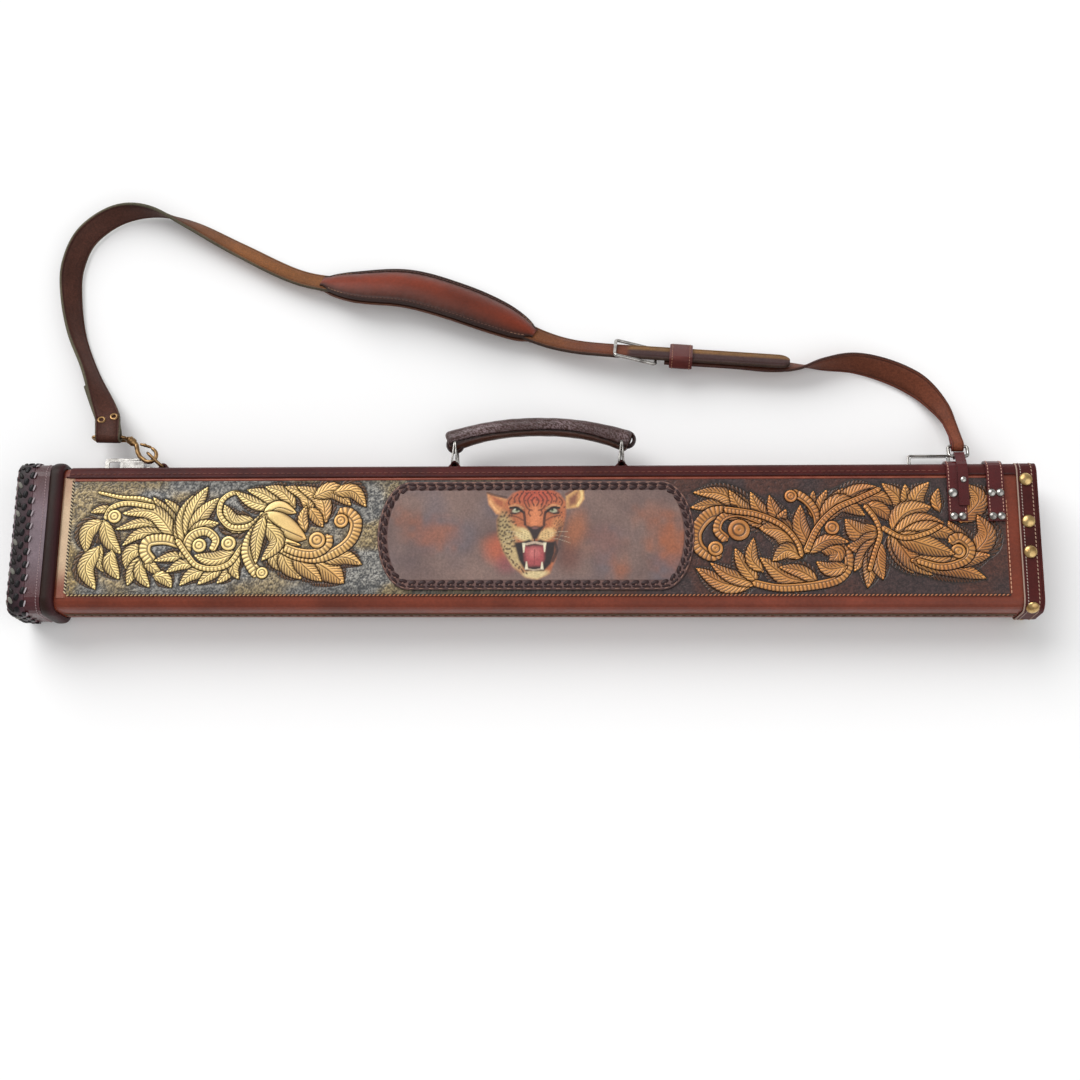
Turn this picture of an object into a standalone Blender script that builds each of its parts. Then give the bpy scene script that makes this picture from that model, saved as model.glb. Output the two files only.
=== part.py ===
"""Leather cue case lying on its back: a rigid body with bores for two cues, a slip-over cap, a
rolled handle, an accessory zip, and a padded shoulder strap laid out beside it.

Metres, +Z up. +X runs from the cap to the closed end, +Y is the handle side, and the origin is
on the flat back, under the middle of the case."""

import math

import bmesh
import bpy
from mathutils import Vector

MM = 0.001
GAP = 0.3 * MM  # between pieces that touch

# Body of the case
END_X = 430 * MM  # half of the overall length
BODY_HALF = 62 * MM  # half width, along Y
BACK_Z = 4.3 * MM
FRONT_Z = 52 * MM
FRONT_RADIUS = 9 * MM
BACK_RADIUS = 13 * MM
COVER_WALL = 1.8 * MM
SHELL_WALL = 1.6 * MM
MOUTH_X = -410 * MM
BLIND_X = 402 * MM  # where the bores end
CLOSED_X = 428 * MM

# Bores for the cues
BUTT_RADIUS = 18 * MM
SHAFT_RADIUS = 9.5 * MM
BUTT_Y = 38 * MM
SHAFT_OFFSET = 9.2 * MM
MIDDLE_Z = (BACK_Z + FRONT_Z) / 2

# Cap
CAP_MOUTH_X = -391 * MM
CAP_RIM_X = -402 * MM
CAP_WALL = 3.4 * MM
RIM_SWELL = 0.38 * MM
CAP_PLAY = 0.5 * MM
CAP_END = 3.5 * MM

# Front panel and medallion
PANEL_X = (-381 * MM, 402 * MM)
PANEL_Y = (-50 * MM, 48.5 * MM)
PANEL_THICK = 1.4 * MM
MEDALLION_X = (-119 * MM, 146 * MM)
MEDALLION_HALF = 46.5 * MM
MEDALLION_THICK = 1.6 * MM

# Handle
HANDLE_X = (-57.5 * MM, 85.5 * MM)
HANDLE_Z = 28 * MM
RING_FOOT_Y = 67.6 * MM
RING_HEIGHT = 20.6 * MM
RING_WIDTH = 22 * MM
WIRE = 1.5 * MM  # wire radius of every ring
GRIP_RISE = 14 * MM

# Zip
ZIP_X = (-352 * MM, 386 * MM)
TAPE_LOW = 0.6 * MM
POCKET_HALF = 46 * MM
SLIDER_X = {"left": -335 * MM, "right": 368 * MM}
SLIDER_Y = 73 * MM
PULL_LENGTH = 35 * MM

# Shoulder strap
STRAP_WIDTH = 22 * MM
STRAP_THICK = 3 * MM
EYE_LEFT = Vector((-364.5, 98.0, 24.0)) * MM
EYE_RIGHT = Vector((368.6, 80.2, 41.0)) * MM
EYE_PLAY = 0.7 * MM

UP = Vector((0, 0, 1))


# --- shared helpers ---------------------------------------------------------------------------


def clear_scene():
    for obj in list(bpy.data.objects):
        bpy.data.objects.remove(obj)


def material(name, colour, roughness, metallic=0.0):
    made = bpy.data.materials.get(name) or bpy.data.materials.new(name)
    made.use_nodes = True
    shader = made.node_tree.nodes["Principled BSDF"]
    shader.inputs["Base Color"].default_value = (*colour, 1)
    shader.inputs["Roughness"].default_value = roughness
    shader.inputs["Metallic"].default_value = metallic
    return made


def add_mesh(name, points, faces, finish, sharp_deg=35, helper=False):
    """One object from points and faces, wound outwards; a helper is a cutter."""
    mesh = bpy.data.meshes.new(name)
    mesh.from_pydata([tuple(p) for p in points], [], faces)
    work = bmesh.new()
    work.from_mesh(mesh)
    bmesh.ops.remove_doubles(work, verts=work.verts, dist=1e-6)
    bmesh.ops.recalc_face_normals(work, faces=work.faces)
    work.to_mesh(mesh)
    work.free()
    mesh.shade_smooth()
    mesh.set_sharp_from_angle(angle=math.radians(sharp_deg))
    obj = bpy.data.objects.new(name, mesh)
    bpy.context.scene.collection.objects.link(obj)
    obj.data.materials.append(finish)
    if helper:
        obj.hide_render = True
        obj.display_type = "WIRE"
    return obj


def rounded_section(half, low, high, back, front, steps=5, inset=0.0):
    """(y, z) points round the case's cross-section, counter-clockwise seen from +X."""
    half, low, high = half - inset, low + inset, high - inset
    corners = (
        (half - front, high - front, front, 0),
        (front - half, high - front, front, 90),
        (back - half, low + back, back, 180),
        (half - back, low + back, back, 270),
    )
    points = []
    for y, z, radius, start in corners:
        for k in range(steps + 1):
            angle = math.radians(start + 90 * k / steps)
            points.append((y + radius * math.cos(angle), z + radius * math.sin(angle)))
    return points


def case_section(inset):
    """The body's outer section, drawn in by inset with its corners kept round."""
    back = max(BACK_RADIUS - inset, 2 * MM)
    front = max(FRONT_RADIUS - inset, 2 * MM)
    return rounded_section(BODY_HALF, BACK_Z, FRONT_Z, back, front, inset=inset)


def prism_x(name, section, x_range, finish):
    """A solid of one (y, z) section along X."""
    count = len(section)
    points = [(x, y, z) for x in x_range for y, z in section]
    faces = [(k, (k + 1) % count, count + (k + 1) % count, count + k) for k in range(count)]
    faces += [tuple(range(count)), tuple(range(count, 2 * count))]
    return add_mesh(name, points, faces, finish)


def tube_x(name, rings, finish):
    """A closed band from rings of (x, section): out along the outer side, back along the inner."""
    count = len(rings[0][1])
    points = [(x, y, z) for x, section in rings for y, z in section]
    faces = []
    for r in range(len(rings)):
        after = (r + 1) % len(rings)
        for k in range(count):
            n = (k + 1) % count
            faces.append((r * count + k, r * count + n, after * count + n, after * count + k))
    return add_mesh(name, points, faces, finish)


def slab(name, outline, z_range, finish):
    """A solid of one (x, y) outline along Z."""
    count = len(outline)
    points = [(x, y, z) for z in z_range for x, y in outline]
    faces = [(k, (k + 1) % count, count + (k + 1) % count, count + k) for k in range(count)]
    faces += [tuple(range(count)), tuple(range(count, 2 * count))]
    return add_mesh(name, points, faces, finish)


def frame_at(path, index, closed=False):
    count = len(path)
    if closed:
        return (path[(index + 1) % count] - path[index - 1]).normalized()
    after = path[min(index + 1, count - 1)]
    before = path[max(index - 1, 0)]
    return (after - before).normalized()


def wire(name, path, radii, normal, finish, closed=True, sides=8):
    """A round wire along a flat path whose plane has this normal."""
    points, faces = [], []
    for i, centre in enumerate(path):
        side = frame_at(path, i, closed).cross(normal).normalized()
        for k in range(sides):
            angle = 2 * math.pi * k / sides
            radius = radii[i]
            points.append(centre + radius * (math.cos(angle) * side + math.sin(angle) * normal))
    spans = len(path) if closed else len(path) - 1
    for i in range(spans):
        j = (i + 1) % len(path)
        for k in range(sides):
            n = (k + 1) % sides
            faces.append((i * sides + k, i * sides + n, j * sides + n, j * sides + k))
    if not closed:
        last = (len(path) - 1) * sides
        faces += [tuple(range(sides)), tuple(range(last, last + sides))]
    return add_mesh(name, points, faces, finish, sharp_deg=60)


def loop_path(centre, across, along, half_across, half_along, radius, steps=4):
    """A rounded rectangle of points round centre, in the plane of across and along."""
    path = []
    for sx, sy, start in ((1, 1, 0), (-1, 1, 90), (-1, -1, 180), (1, -1, 270)):
        corner = centre + sx * (half_across - radius) * across + sy * (half_along - radius) * along
        for k in range(steps + 1):
            angle = math.radians(start + 90 * k / steps)
            path.append(corner + radius * (math.cos(angle) * across + math.sin(angle) * along))
    return path


def ribbon(name, stations, thick, finish):
    """A flat strap through stations of (centre, width direction, width)."""
    path = [centre for centre, _, _ in stations]
    points, faces = [], []
    for i, (centre, across, width) in enumerate(stations):
        along = frame_at(path, i)
        across = (across - across.dot(along) * along).normalized()
        out = along.cross(across)
        for a, b in ((1, 1), (-1, 1), (-1, -1), (1, -1)):
            points.append(centre + a * width / 2 * across + b * thick / 2 * out)
    for i in range(len(stations) - 1):
        for k in range(4):
            n = (k + 1) % 4
            faces.append((4 * i + k, 4 * i + n, 4 * i + 4 + n, 4 * i + 4 + k))
    last = 4 * (len(stations) - 1)
    faces += [(0, 1, 2, 3), (last, last + 1, last + 2, last + 3)]
    return add_mesh(name, points, faces, finish)


def bent_strip(name, path, width_axis, middle, width, thick, finish):
    """A leather strip of constant width, bent along a path in one plane."""
    stations = [(Vector(p) + middle, width_axis, width) for p in path]
    return ribbon(name, stations, thick, finish)


def dome(name, centre, normal, radius, height, finish, sides=12, rings=3):
    """A domed nail or rivet head standing on centre."""
    normal = normal.normalized()
    side = normal.orthogonal().normalized()
    other = normal.cross(side)
    points, faces = [centre + height * normal], []
    for r in range(1, rings + 1):
        angle = math.pi / 2 * r / rings
        for k in range(sides):
            turn = 2 * math.pi * k / sides
            ray = math.cos(turn) * side + math.sin(turn) * other
            points.append(
                centre + radius * math.sin(angle) * ray + height * math.cos(angle) * normal
            )
    faces = [(0, 1 + k, 1 + (k + 1) % sides) for k in range(sides)]
    for r in range(rings - 1):
        for k in range(sides):
            n = (k + 1) % sides
            low = 1 + r * sides
            faces.append((low + k, low + n, low + sides + n, low + sides + k))
    faces.append(tuple(range(1 + (rings - 1) * sides, 1 + rings * sides)))
    return add_mesh(name, points, faces, finish, sharp_deg=50)


def cylinder(name, centre, axis, radius, length, finish, sides=24, helper=False):
    axis = axis.normalized()
    side = axis.orthogonal().normalized()
    other = axis.cross(side)
    points = []
    for end in (-0.5, 0.5):
        for k in range(sides):
            turn = 2 * math.pi * k / sides
            ray = math.cos(turn) * side + math.sin(turn) * other
            points.append(centre + end * length * axis + radius * ray)
    faces = [(k, (k + 1) % sides, sides + (k + 1) % sides, sides + k) for k in range(sides)]
    faces += [tuple(range(sides)), tuple(range(sides, 2 * sides))]
    return add_mesh(name, points, faces, finish, helper=helper)


def cut(obj, cutter):
    modifier = obj.modifiers.new("cut_" + cutter.name, "BOOLEAN")
    modifier.operation = "DIFFERENCE"
    modifier.solver = "EXACT"
    modifier.object = cutter


def set_origin(obj, point):
    """Moves the object's origin to its joint's axis and leaves its shape where it is."""
    for vertex in obj.data.vertices:
        vertex.co -= point
    obj.location = point


def smooth_path(controls, per_span):
    """Catmull-Rom through rows of numbers, so that places and angles blend together."""
    rows = []
    for i in range(len(controls) - 1):
        quad = [controls[max(0, min(len(controls) - 1, i + d))] for d in (-1, 0, 1, 2)]
        for k in range(per_span):
            t = k / per_span
            weights = (
                -0.5 * t + t * t - 0.5 * t**3,
                1 - 2.5 * t * t + 1.5 * t**3,
                0.5 * t + 2 * t * t - 1.5 * t**3,
                -0.5 * t * t + 0.5 * t**3,
            )
            rows.append([sum(w * row[c] for w, row in zip(weights, quad)) for c in range(len(quad[0]))])
    rows.append(list(controls[-1]))
    return rows


# --- finishes ---------------------------------------------------------------------------------

clear_scene()
MAHOGANY = material("mahogany_leather", (0.19, 0.045, 0.022), 0.45)
BURGUNDY = material("burgundy_leather", (0.08, 0.03, 0.035), 0.4)
TOOLED = material("tooled_leather", (0.42, 0.25, 0.1), 0.45)
PRINTED = material("printed_leather", (0.3, 0.18, 0.15), 0.5)
STRAP = material("strap_leather", (0.2, 0.07, 0.03), 0.6)
GRIP = material("grip_leather", (0.07, 0.03, 0.02), 0.35)
BLACK_LEATHER = material("black_leather", (0.012, 0.01, 0.01), 0.4)
LINING = material("lining", (0.03, 0.025, 0.03), 0.9)
WOOD = material("wood", (0.35, 0.22, 0.12), 0.6)
FIBRE = material("fibre_board", (0.2, 0.14, 0.09), 0.8)
TAPE = material("zip_tape", (0.03, 0.02, 0.02), 0.9)
BRASS = material("brass", (0.55, 0.38, 0.15), 0.3, 1.0)
ANTIQUE = material("antique_brass", (0.3, 0.2, 0.11), 0.38, 1.0)
STEEL = material("nickel", (0.55, 0.53, 0.5), 0.25, 1.0)


# --- the body ---------------------------------------------------------------------------------


def build_body():
    cover_in = case_section(COVER_WALL)
    shell_out = case_section(COVER_WALL + GAP)
    shell_in = case_section(COVER_WALL + GAP + SHELL_WALL)
    outer = case_section(0)
    ends = (MOUTH_X, CLOSED_X)
    rings = ((ends[0], outer), (ends[1], outer), (ends[1], cover_in), (ends[0], cover_in))
    tube_x("leather_cover", rings, MAHOGANY)
    rings = ((ends[0], shell_out), (ends[1], shell_out), (ends[1], shell_in), (ends[0], shell_in))
    tube_x("shell_core", rings, FIBRE)
    filler = case_section(COVER_WALL + SHELL_WALL + 2 * GAP)
    insert = prism_x("cue_insert", filler, (MOUTH_X + 2 * MM, BLIND_X), LINING)
    plate = prism_x("mouth_plate", filler, (MOUTH_X, MOUTH_X + 2 * MM - GAP), BURGUNDY)
    bores = (
        ("bore_butt_front", -BUTT_Y, 0, BUTT_RADIUS),
        ("bore_butt_back", BUTT_Y, 0, BUTT_RADIUS),
        ("bore_shaft_low", -SHAFT_OFFSET, -SHAFT_OFFSET, SHAFT_RADIUS),
        ("bore_shaft_high", SHAFT_OFFSET, SHAFT_OFFSET, SHAFT_RADIUS),
    )
    reach = BLIND_X - MOUTH_X + 20 * MM
    for name, y, z, radius in bores:
        centre = Vector(((MOUTH_X + BLIND_X) / 2, y, MIDDLE_Z + z))
        cutter = cylinder(name, centre, Vector((1, 0, 0)), radius, reach, LINING, helper=True)
        cut(insert, cutter)
        cut(plate, cutter)
    prism_x("end_plug", filler, (BLIND_X + GAP, CLOSED_X), WOOD)


def build_front():
    low = FRONT_Z + GAP
    x0, x1 = PANEL_X
    y0, y1 = PANEL_Y
    slab("front_panel", ((x0, y0), (x1, y0), (x1, y1), (x0, y1)), (low, low + PANEL_THICK), TOOLED)
    low += PANEL_THICK + GAP
    centre_y = (PANEL_Y[0] + PANEL_Y[1]) / 2 + 0.5 * MM
    bulge = 27 * MM
    straight = (MEDALLION_X[0] + bulge, MEDALLION_X[1] - bulge)
    outline = []
    for x, sign in ((straight[1], 1), (straight[0], -1)):
        for k in range(13):
            angle = math.radians(-90 + 180 * k / 12)
            outline.append(
                (
                    x + sign * bulge * math.cos(angle),
                    centre_y + sign * MEDALLION_HALF * math.sin(angle),
                )
            )
    slab("medallion", outline, (low, low + MEDALLION_THICK), PRINTED)


def build_top_gusset():
    """A burgundy strip down the handle side, lapped over the front edge."""
    thick = 1.1 * MM
    middle = BODY_HALF + GAP + thick / 2
    top = FRONT_Z + GAP + thick / 2
    corner = Vector((0, BODY_HALF - FRONT_RADIUS, FRONT_Z - FRONT_RADIUS))
    radius = FRONT_RADIUS + GAP + thick / 2
    path = [(0, corner.y - 1.5 * MM, top)]
    for k in range(7):
        angle = math.radians(90 - 15 * k)
        path.append((0, corner.y + radius * math.cos(angle), corner.z + radius * math.sin(angle)))
    path.append((0, middle, BACK_Z + BACK_RADIUS + 1 * MM))
    length = (-386 * MM, 413 * MM)
    centre = Vector(((length[0] + length[1]) / 2, 0, 0))
    width = length[1] - length[0]
    bent_strip("top_gusset", path, Vector((1, 0, 0)), centre, width, thick, BURGUNDY)


def build_back():
    z_range = (0, BACK_Z - GAP)
    x0, x1, y0, y1 = -372 * MM, 405 * MM, -POCKET_HALF, POCKET_HALF
    outline = []
    for x, y, start in ((x1, y1, 0), (x0, y1, 90), (x0, y0, 180), (x1, y0, 270)):
        radius = 12 * MM
        cx = x - radius if x > 0 else x + radius
        cy = y - radius if y > 0 else y + radius
        for k in range(5):
            angle = math.radians(start + 22.5 * k)
            outline.append((cx + radius * math.cos(angle), cy + radius * math.sin(angle)))
    slab("back_pocket", outline, z_range, MAHOGANY)


def build_closed_end():
    inner = case_section(-GAP)
    outer = case_section(-GAP - 1.5 * MM)
    x0, x1 = 413.5 * MM, CLOSED_X
    tube_x("end_band", ((x0, outer), (x1, outer), (x1, inner), (x0, inner)), BURGUNDY)
    prism_x("end_face", case_section(-GAP - 1.5 * MM), (CLOSED_X + GAP, END_X), BURGUNDY)
    lift = 1.5 * MM + 2 * GAP
    front_corner = (FRONT_RADIUS - BODY_HALF, FRONT_Z - FRONT_RADIUS)
    back_corner = (BODY_HALF - BACK_RADIUS, BACK_Z + BACK_RADIUS)
    nails = [((y, FRONT_Z + lift), (0, 1)) for y in (47 * MM, 11 * MM, -15 * MM)]
    spread = FRONT_RADIUS + lift
    tilt = math.radians(140)
    nails.append(
        (
            (front_corner[0] + spread * math.cos(tilt), front_corner[1] + spread * math.sin(tilt)),
            (math.cos(tilt), math.sin(tilt)),
        )
    )
    spread = BACK_RADIUS + lift
    for sign in (1, -1):
        tilt = math.radians(-50)
        y = back_corner[0] + spread * math.cos(tilt)
        z = back_corner[1] + spread * math.sin(tilt)
        nails.append(((sign * y, z), (sign * math.cos(tilt), math.sin(tilt))))
    for k, ((y, z), (ny, nz)) in enumerate(nails):
        place = Vector((420.5 * MM, y, z))
        dome(f"brass_nail_{k + 1}", place, Vector((0, ny, nz)), 5.5 * MM, 2.6 * MM, BRASS)


# --- the cap ----------------------------------------------------------------------------------


def build_cap():
    bore = case_section(-CAP_PLAY)
    outer = case_section(-CAP_PLAY - CAP_WALL)
    neck = -END_X + CAP_END + GAP
    brow = CAP_RIM_X - GAP
    tube_x("cap_wall", ((neck, outer), (brow, outer), (brow, bore), (neck, bore)), BURGUNDY)
    rim = []
    for k in range(7):
        share = math.sin(math.pi * k / 6)
        x = CAP_RIM_X + (CAP_MOUTH_X - CAP_RIM_X) * k / 6
        rim.append((x, case_section(-CAP_PLAY - CAP_WALL - RIM_SWELL * share)))
    rim += [(CAP_MOUTH_X, bore), (CAP_RIM_X, bore)]
    tube_x("cap_rim", rim, BLACK_LEATHER)
    prism_x("cap_end", case_section(-CAP_PLAY - CAP_WALL), (-END_X, -END_X + CAP_END), BURGUNDY)
    pad = case_section(1.5 * MM)
    prism_x("cap_lining", pad, (neck, neck + 2 * MM), LINING)


# --- handle -----------------------------------------------------------------------------------


def bridge_path(x, foot_y, thick, spread, radius):
    """A strip that lies on the side wall and bumps out over a bar at x."""
    base = foot_y + thick / 2
    crown = RING_FOOT_Y
    path = [(x - spread, base, 0), (x - radius - 3 * MM, base, 0)]
    for k in range(9):
        angle = math.radians(180 - 22.5 * k)
        path.append((x + radius * math.cos(angle), crown + radius * math.sin(angle), 0))
    path += [(x + radius + 3 * MM, base, 0), (x + spread, base, 0)]
    return path


def build_handle():
    wall_y = BODY_HALF + 1.1 * MM + 2 * GAP
    for side, x in zip(("left", "right"), HANDLE_X):
        path = bridge_path(x, wall_y, 1.6 * MM, 15 * MM, WIRE + 1.2 * MM)
        middle = Vector((0, 0, HANDLE_Z))
        bent_strip(f"handle_tab_{side}", path, UP, middle, 17 * MM, 1.6 * MM, BURGUNDY)
        centre = Vector((x, RING_FOOT_Y + RING_HEIGHT / 2, HANDLE_Z))
        across = Vector((0, 1, 0))
        route = loop_path(centre, across, UP, RING_HEIGHT / 2, RING_WIDTH / 2, 3 * MM)
        ring = wire(f"handle_ring_{side}", route, [WIRE] * len(route), Vector((1, 0, 0)), STEEL)
        set_origin(ring, Vector((x, RING_FOOT_Y, HANDLE_Z)))
    build_grip()


def build_grip():
    pin_y = RING_FOOT_Y + RING_HEIGHT
    x0, x1 = HANDLE_X
    middle, half = (x0 + x1) / 2, (x1 - x0) / 2
    reach = half + 5.5 * MM
    points, faces = [], []
    sides, rings = 16, 20
    for i in range(rings + 1):
        share = -1 + 2 * i / rings
        x = middle + reach * share
        y = pin_y + GRIP_RISE * (1 - abs(share) ** 2.2) + 1.5 * MM
        slope = math.atan(-GRIP_RISE / reach * 2.2 * abs(share) ** 1.2 * math.copysign(1, share))
        swell = abs(share) ** 3
        half_y = (7.8 + 1.2 * swell) * MM
        half_z = (8.3 + 0.3 * swell) * MM
        if i in (0, rings):
            half_y *= 0.8
            half_z *= 0.9
        for k in range(sides):
            angle = 2 * math.pi * k / sides
            off = half_y * math.cos(angle)
            points.append(
                (
                    x - off * math.sin(slope),
                    y + off * math.cos(slope),
                    HANDLE_Z + half_z * math.sin(angle),
                )
            )
    for i in range(rings):
        for k in range(sides):
            n = (k + 1) % sides
            faces.append(
                (i * sides + k, i * sides + n, (i + 1) * sides + n, (i + 1) * sides + k)
            )
    faces += [tuple(range(sides)), tuple(range(rings * sides, (rings + 1) * sides))]
    grip = add_mesh("handle_grip", points, faces, GRIP)
    for side, x in zip(("left", "right"), HANDLE_X):
        centre = Vector((x, pin_y, HANDLE_Z))
        eye = cylinder(f"grip_eye_{side}", centre, UP, WIRE + 0.4 * MM, 40 * MM, GRIP, 12, True)
        cut(grip, eye)
    return grip


# --- zip --------------------------------------------------------------------------------------


def build_zip():
    x0, x1 = ZIP_X
    root = POCKET_HALF + GAP
    outline = ((x0, root), (x1, root), (x1, SLIDER_Y), (x0, SLIDER_Y))
    tape_top = TAPE_LOW + 1.2 * MM
    slab("zip_tape", outline, (TAPE_LOW, tape_top), TAPE)
    teeth = ((x0 + 4 * MM, 71 * MM), (x1 - 4 * MM, 71 * MM), (x1 - 4 * MM, SLIDER_Y), (x0 + 4 * MM, SLIDER_Y))
    slab("zip_teeth", teeth, (tape_top + GAP, tape_top + 1.4 * MM), STEEL)
    for side, x in SLIDER_X.items():
        build_slider(side, x, tape_top + 1.4 * MM + GAP)


def build_slider(side, x, base):
    """The slider's body, with two lugs that hold the pull's pin end."""
    y = SLIDER_Y - 1 * MM
    body = [(x - 6 * MM, y - 3 * MM), (x + 4 * MM, y - 4.5 * MM), (x + 6 * MM, y - 3 * MM)]
    body += [(px, 2 * y - py) for px, py in reversed(body)]
    slab(f"zip_slider_{side}", body, (base, base + 2.2 * MM), STEEL)
    low = base + 2.2 * MM + GAP
    centre = Vector((x - PULL_LENGTH / 2, y + 4.5 * MM, low + 0.9 * MM))
    route = loop_path(centre, Vector((1, 0, 0)), Vector((0, 1, 0)), PULL_LENGTH / 2, 6 * MM, 2 * MM)
    pull = wire(f"zip_pull_{side}", route, [0.9 * MM] * len(route), UP, STEEL, sides=6)
    set_origin(pull, Vector((x, y, low + 0.9 * MM)))


# --- rivet tabs and the strap's anchor --------------------------------------------------------


def over_edge_path(front_y, top_z, level, side_z):
    """From the front face, over the rounded edge and down the handle side."""
    radius = FRONT_RADIUS + level
    corner = Vector((0, BODY_HALF - FRONT_RADIUS, FRONT_Z - FRONT_RADIUS))
    path = [(0, front_y, top_z), (0, corner.y, top_z)]
    for k in range(1, 7):
        angle = math.radians(90 - 15 * k)
        path.append((0, corner.y + radius * math.cos(angle), corner.z + radius * math.sin(angle)))
    path.append((0, BODY_HALF + level, side_z))
    return path


def build_tabs():
    thick = 1.8 * MM
    level = GAP + 1.1 * MM + GAP + thick / 2 + 0.3 * MM
    for k, (x0, x1) in enumerate(((355.5, 371.0), (388.0, 402.0))):
        x = (x0 + x1) / 2 * MM
        middle = Vector((x, 0, 0))
        path = over_edge_path(11 * MM, FRONT_Z + level, level, 31 * MM)
        bent_strip(
            f"rivet_tab_{k + 1}", path, Vector((1, 0, 0)), middle, (x1 - x0) * MM, thick, BURGUNDY
        )
        surface = FRONT_Z + level + thick / 2 + GAP
        for j, y in enumerate((35 * MM, 15 * MM)):
            place = Vector((x, y, surface))
            shift = -3.4 * MM if k == 0 and j == 0 else 0
            place.x += shift
            dome(f"tab_rivet_{2 * k + j + 1}", place, UP, 4 * MM, 2 * MM, STEEL)
    build_anchor(level + thick / 2 + GAP + 0.7 * MM)


def build_anchor(level):
    """A narrow strip on the first tab that holds the strap's ring in a loop at its top."""
    thick = 1.4 * MM
    x = EYE_RIGHT.x
    bar = Vector((0, 70.6 * MM, 44 * MM))
    wrap = WIRE + 0.5 * MM + thick / 2
    path = over_edge_path(24 * MM, FRONT_Z + level, level, 0)[:5]
    for k in range(8):
        angle = math.radians(75 - 30 * k)
        path.append((0, bar.y + wrap * math.cos(angle), bar.z + wrap * math.sin(angle)))
    bent_strip("strap_anchor", path, Vector((1, 0, 0)), Vector((x, 0, 0)), 8.5 * MM, thick, STRAP)
    top = FRONT_Z + level + thick / 2 + GAP
    dome("anchor_rivet", Vector((x, 46 * MM, top)), UP, 2.4 * MM, 1.3 * MM, STEEL, sides=10)
    inner = Vector((x, bar.y, bar.z))
    outer = Vector((x, EYE_RIGHT.y, EYE_RIGHT.z))
    build_link("strap_ring", inner, outer, Vector((1, 0, 0)), 8 * MM)


def build_link(name, bar_a, bar_b, along, half_length):
    """A rounded rectangular link whose two long bars run through bar_a and bar_b."""
    centre = (bar_a + bar_b) / 2
    across = (bar_b - bar_a).normalized()
    along = (along - along.dot(across) * across).normalized()
    reach = (bar_b - bar_a).length / 2
    route = loop_path(centre, across, along, reach, half_length, 2.5 * MM)
    return wire(name, route, [WIRE] * len(route), across.cross(along), STEEL)


# --- snap hook --------------------------------------------------------------------------------


def strap_axis():
    return (EYE_RIGHT - EYE_LEFT).normalized()


def build_hook_side():
    wall_y = BODY_HALF + 1.1 * MM + 2 * GAP
    x, z = -312 * MM, 24 * MM
    path = bridge_path(x, wall_y, 1.6 * MM, 13 * MM, WIRE + 1.6 * MM)
    path[-1] = (x + 31 * MM, path[-1][1], 0)
    bent_strip("hook_tab", path, UP, Vector((0, 0, z)), 15 * MM, 1.6 * MM, BURGUNDY)
    foot = Vector((x, RING_FOOT_Y, z))
    tip = Vector((-326.8 * MM, 81.1 * MM, z))
    across = (tip - foot).normalized()
    centre = (foot + tip) / 2
    route = loop_path(centre, across, UP, (tip - foot).length / 2, 9.5 * MM, 4 * MM)
    ring = wire("d_ring", route, [1.3 * MM] * len(route), across.cross(UP), ANTIQUE)
    set_origin(ring, foot)
    axis = strap_axis()
    low_bar = EYE_LEFT - 9.5 * MM * UP
    link = build_link("swivel_link", EYE_LEFT, low_bar, axis, 14.5 * MM)
    link.data.materials[0] = ANTIQUE
    build_snap_hook(EYE_LEFT - 4.75 * MM * UP + 16.6 * MM * axis)


def build_snap_hook(start):
    """A barrel, a neck and an open hook in one level plane; its gate closes the gap."""
    nose = Vector((-324 * MM, 79 * MM, start.z))
    along = (nose - start).normalized()
    side = along.cross(UP)
    begin = start + 0.6 * MM * along
    path, radii = [], []
    for s, radius in ((0, 3.6), (6, 3.6), (7, 2.4), (9, 2.2)):
        path.append(begin + s * MM * along)
        radii.append(radius * MM)
    bend = 6.2 * MM
    centre = begin + 24 * MM * along
    path.append(begin + 13 * MM * along + 3.6 * MM * side)
    path.append(begin + 18 * MM * along + bend * side)
    radii += [2.1 * MM, 2.0 * MM]
    for k in range(9):
        angle = math.radians(90 - 22.5 * k)
        path.append(centre + bend * (math.cos(angle) * along + math.sin(angle) * side))
        radii.append((2.0 - 0.05 * k) * MM)
    path.append(centre - bend * side - 2 * MM * along)
    radii.append(1.5 * MM)
    wire("snap_hook", path, radii, UP, ANTIQUE, closed=False)
    foot = begin + 11.5 * MM * along - 3.0 * MM * side
    tip = centre - bend * side - 4.2 * MM * along
    gate = wire("hook_gate", [foot, (foot + tip) / 2, tip], [1.3 * MM] * 3, UP, ANTIQUE, closed=False)
    set_origin(gate, foot)


# --- shoulder strap ---------------------------------------------------------------------------

# Centre line of the strap: x, y, z in millimetres, and its lean from upright in degrees, outwards
# positive. It stands on its edge along most of its length and lies flat where it meets the hardware.
LONG_ROUTE = (
    (-366.0, 112.0, 21.5, 84),
    (-373.0, 128.0, 17.0, 60),
    (-389.5, 163.0, 12.2, 26),
    (-405.5, 200.0, 11.0, 30),
    (-414.0, 238.0, 10.2, 42),
    (-415.0, 268.0, 9.5, 47),
    (-404.0, 297.0, 9.6, 44),
    (-377.0, 317.0, 10.6, 30),
    (-345.0, 319.5, 12.2, 0),
    (-309.0, 306.5, 11.0, -34),
    (-262.0, 281.5, 9.2, -49),
    (-206.0, 253.5, 10.0, -54),
    (-157.0, 243.0, 14.2, -60),
    (-108.0, 240.0, 15.4, -62),
    (-66.0, 228.0, 15.4, -60),
    (-25.0, 211.5, 14.2, -58),
    (12.0, 193.5, 12.0, -54),
    (42.0, 184.0, 12.6, -49),
    (78.0, 178.4, 15.8, -48),
    (114.0, 175.6, 16.0, -48),
    (150.0, 172.8, 16.0, -48),
    (186.0, 170.0, 16.0, -48),
    (222.0, 167.2, 16.0, -48),
)
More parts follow.
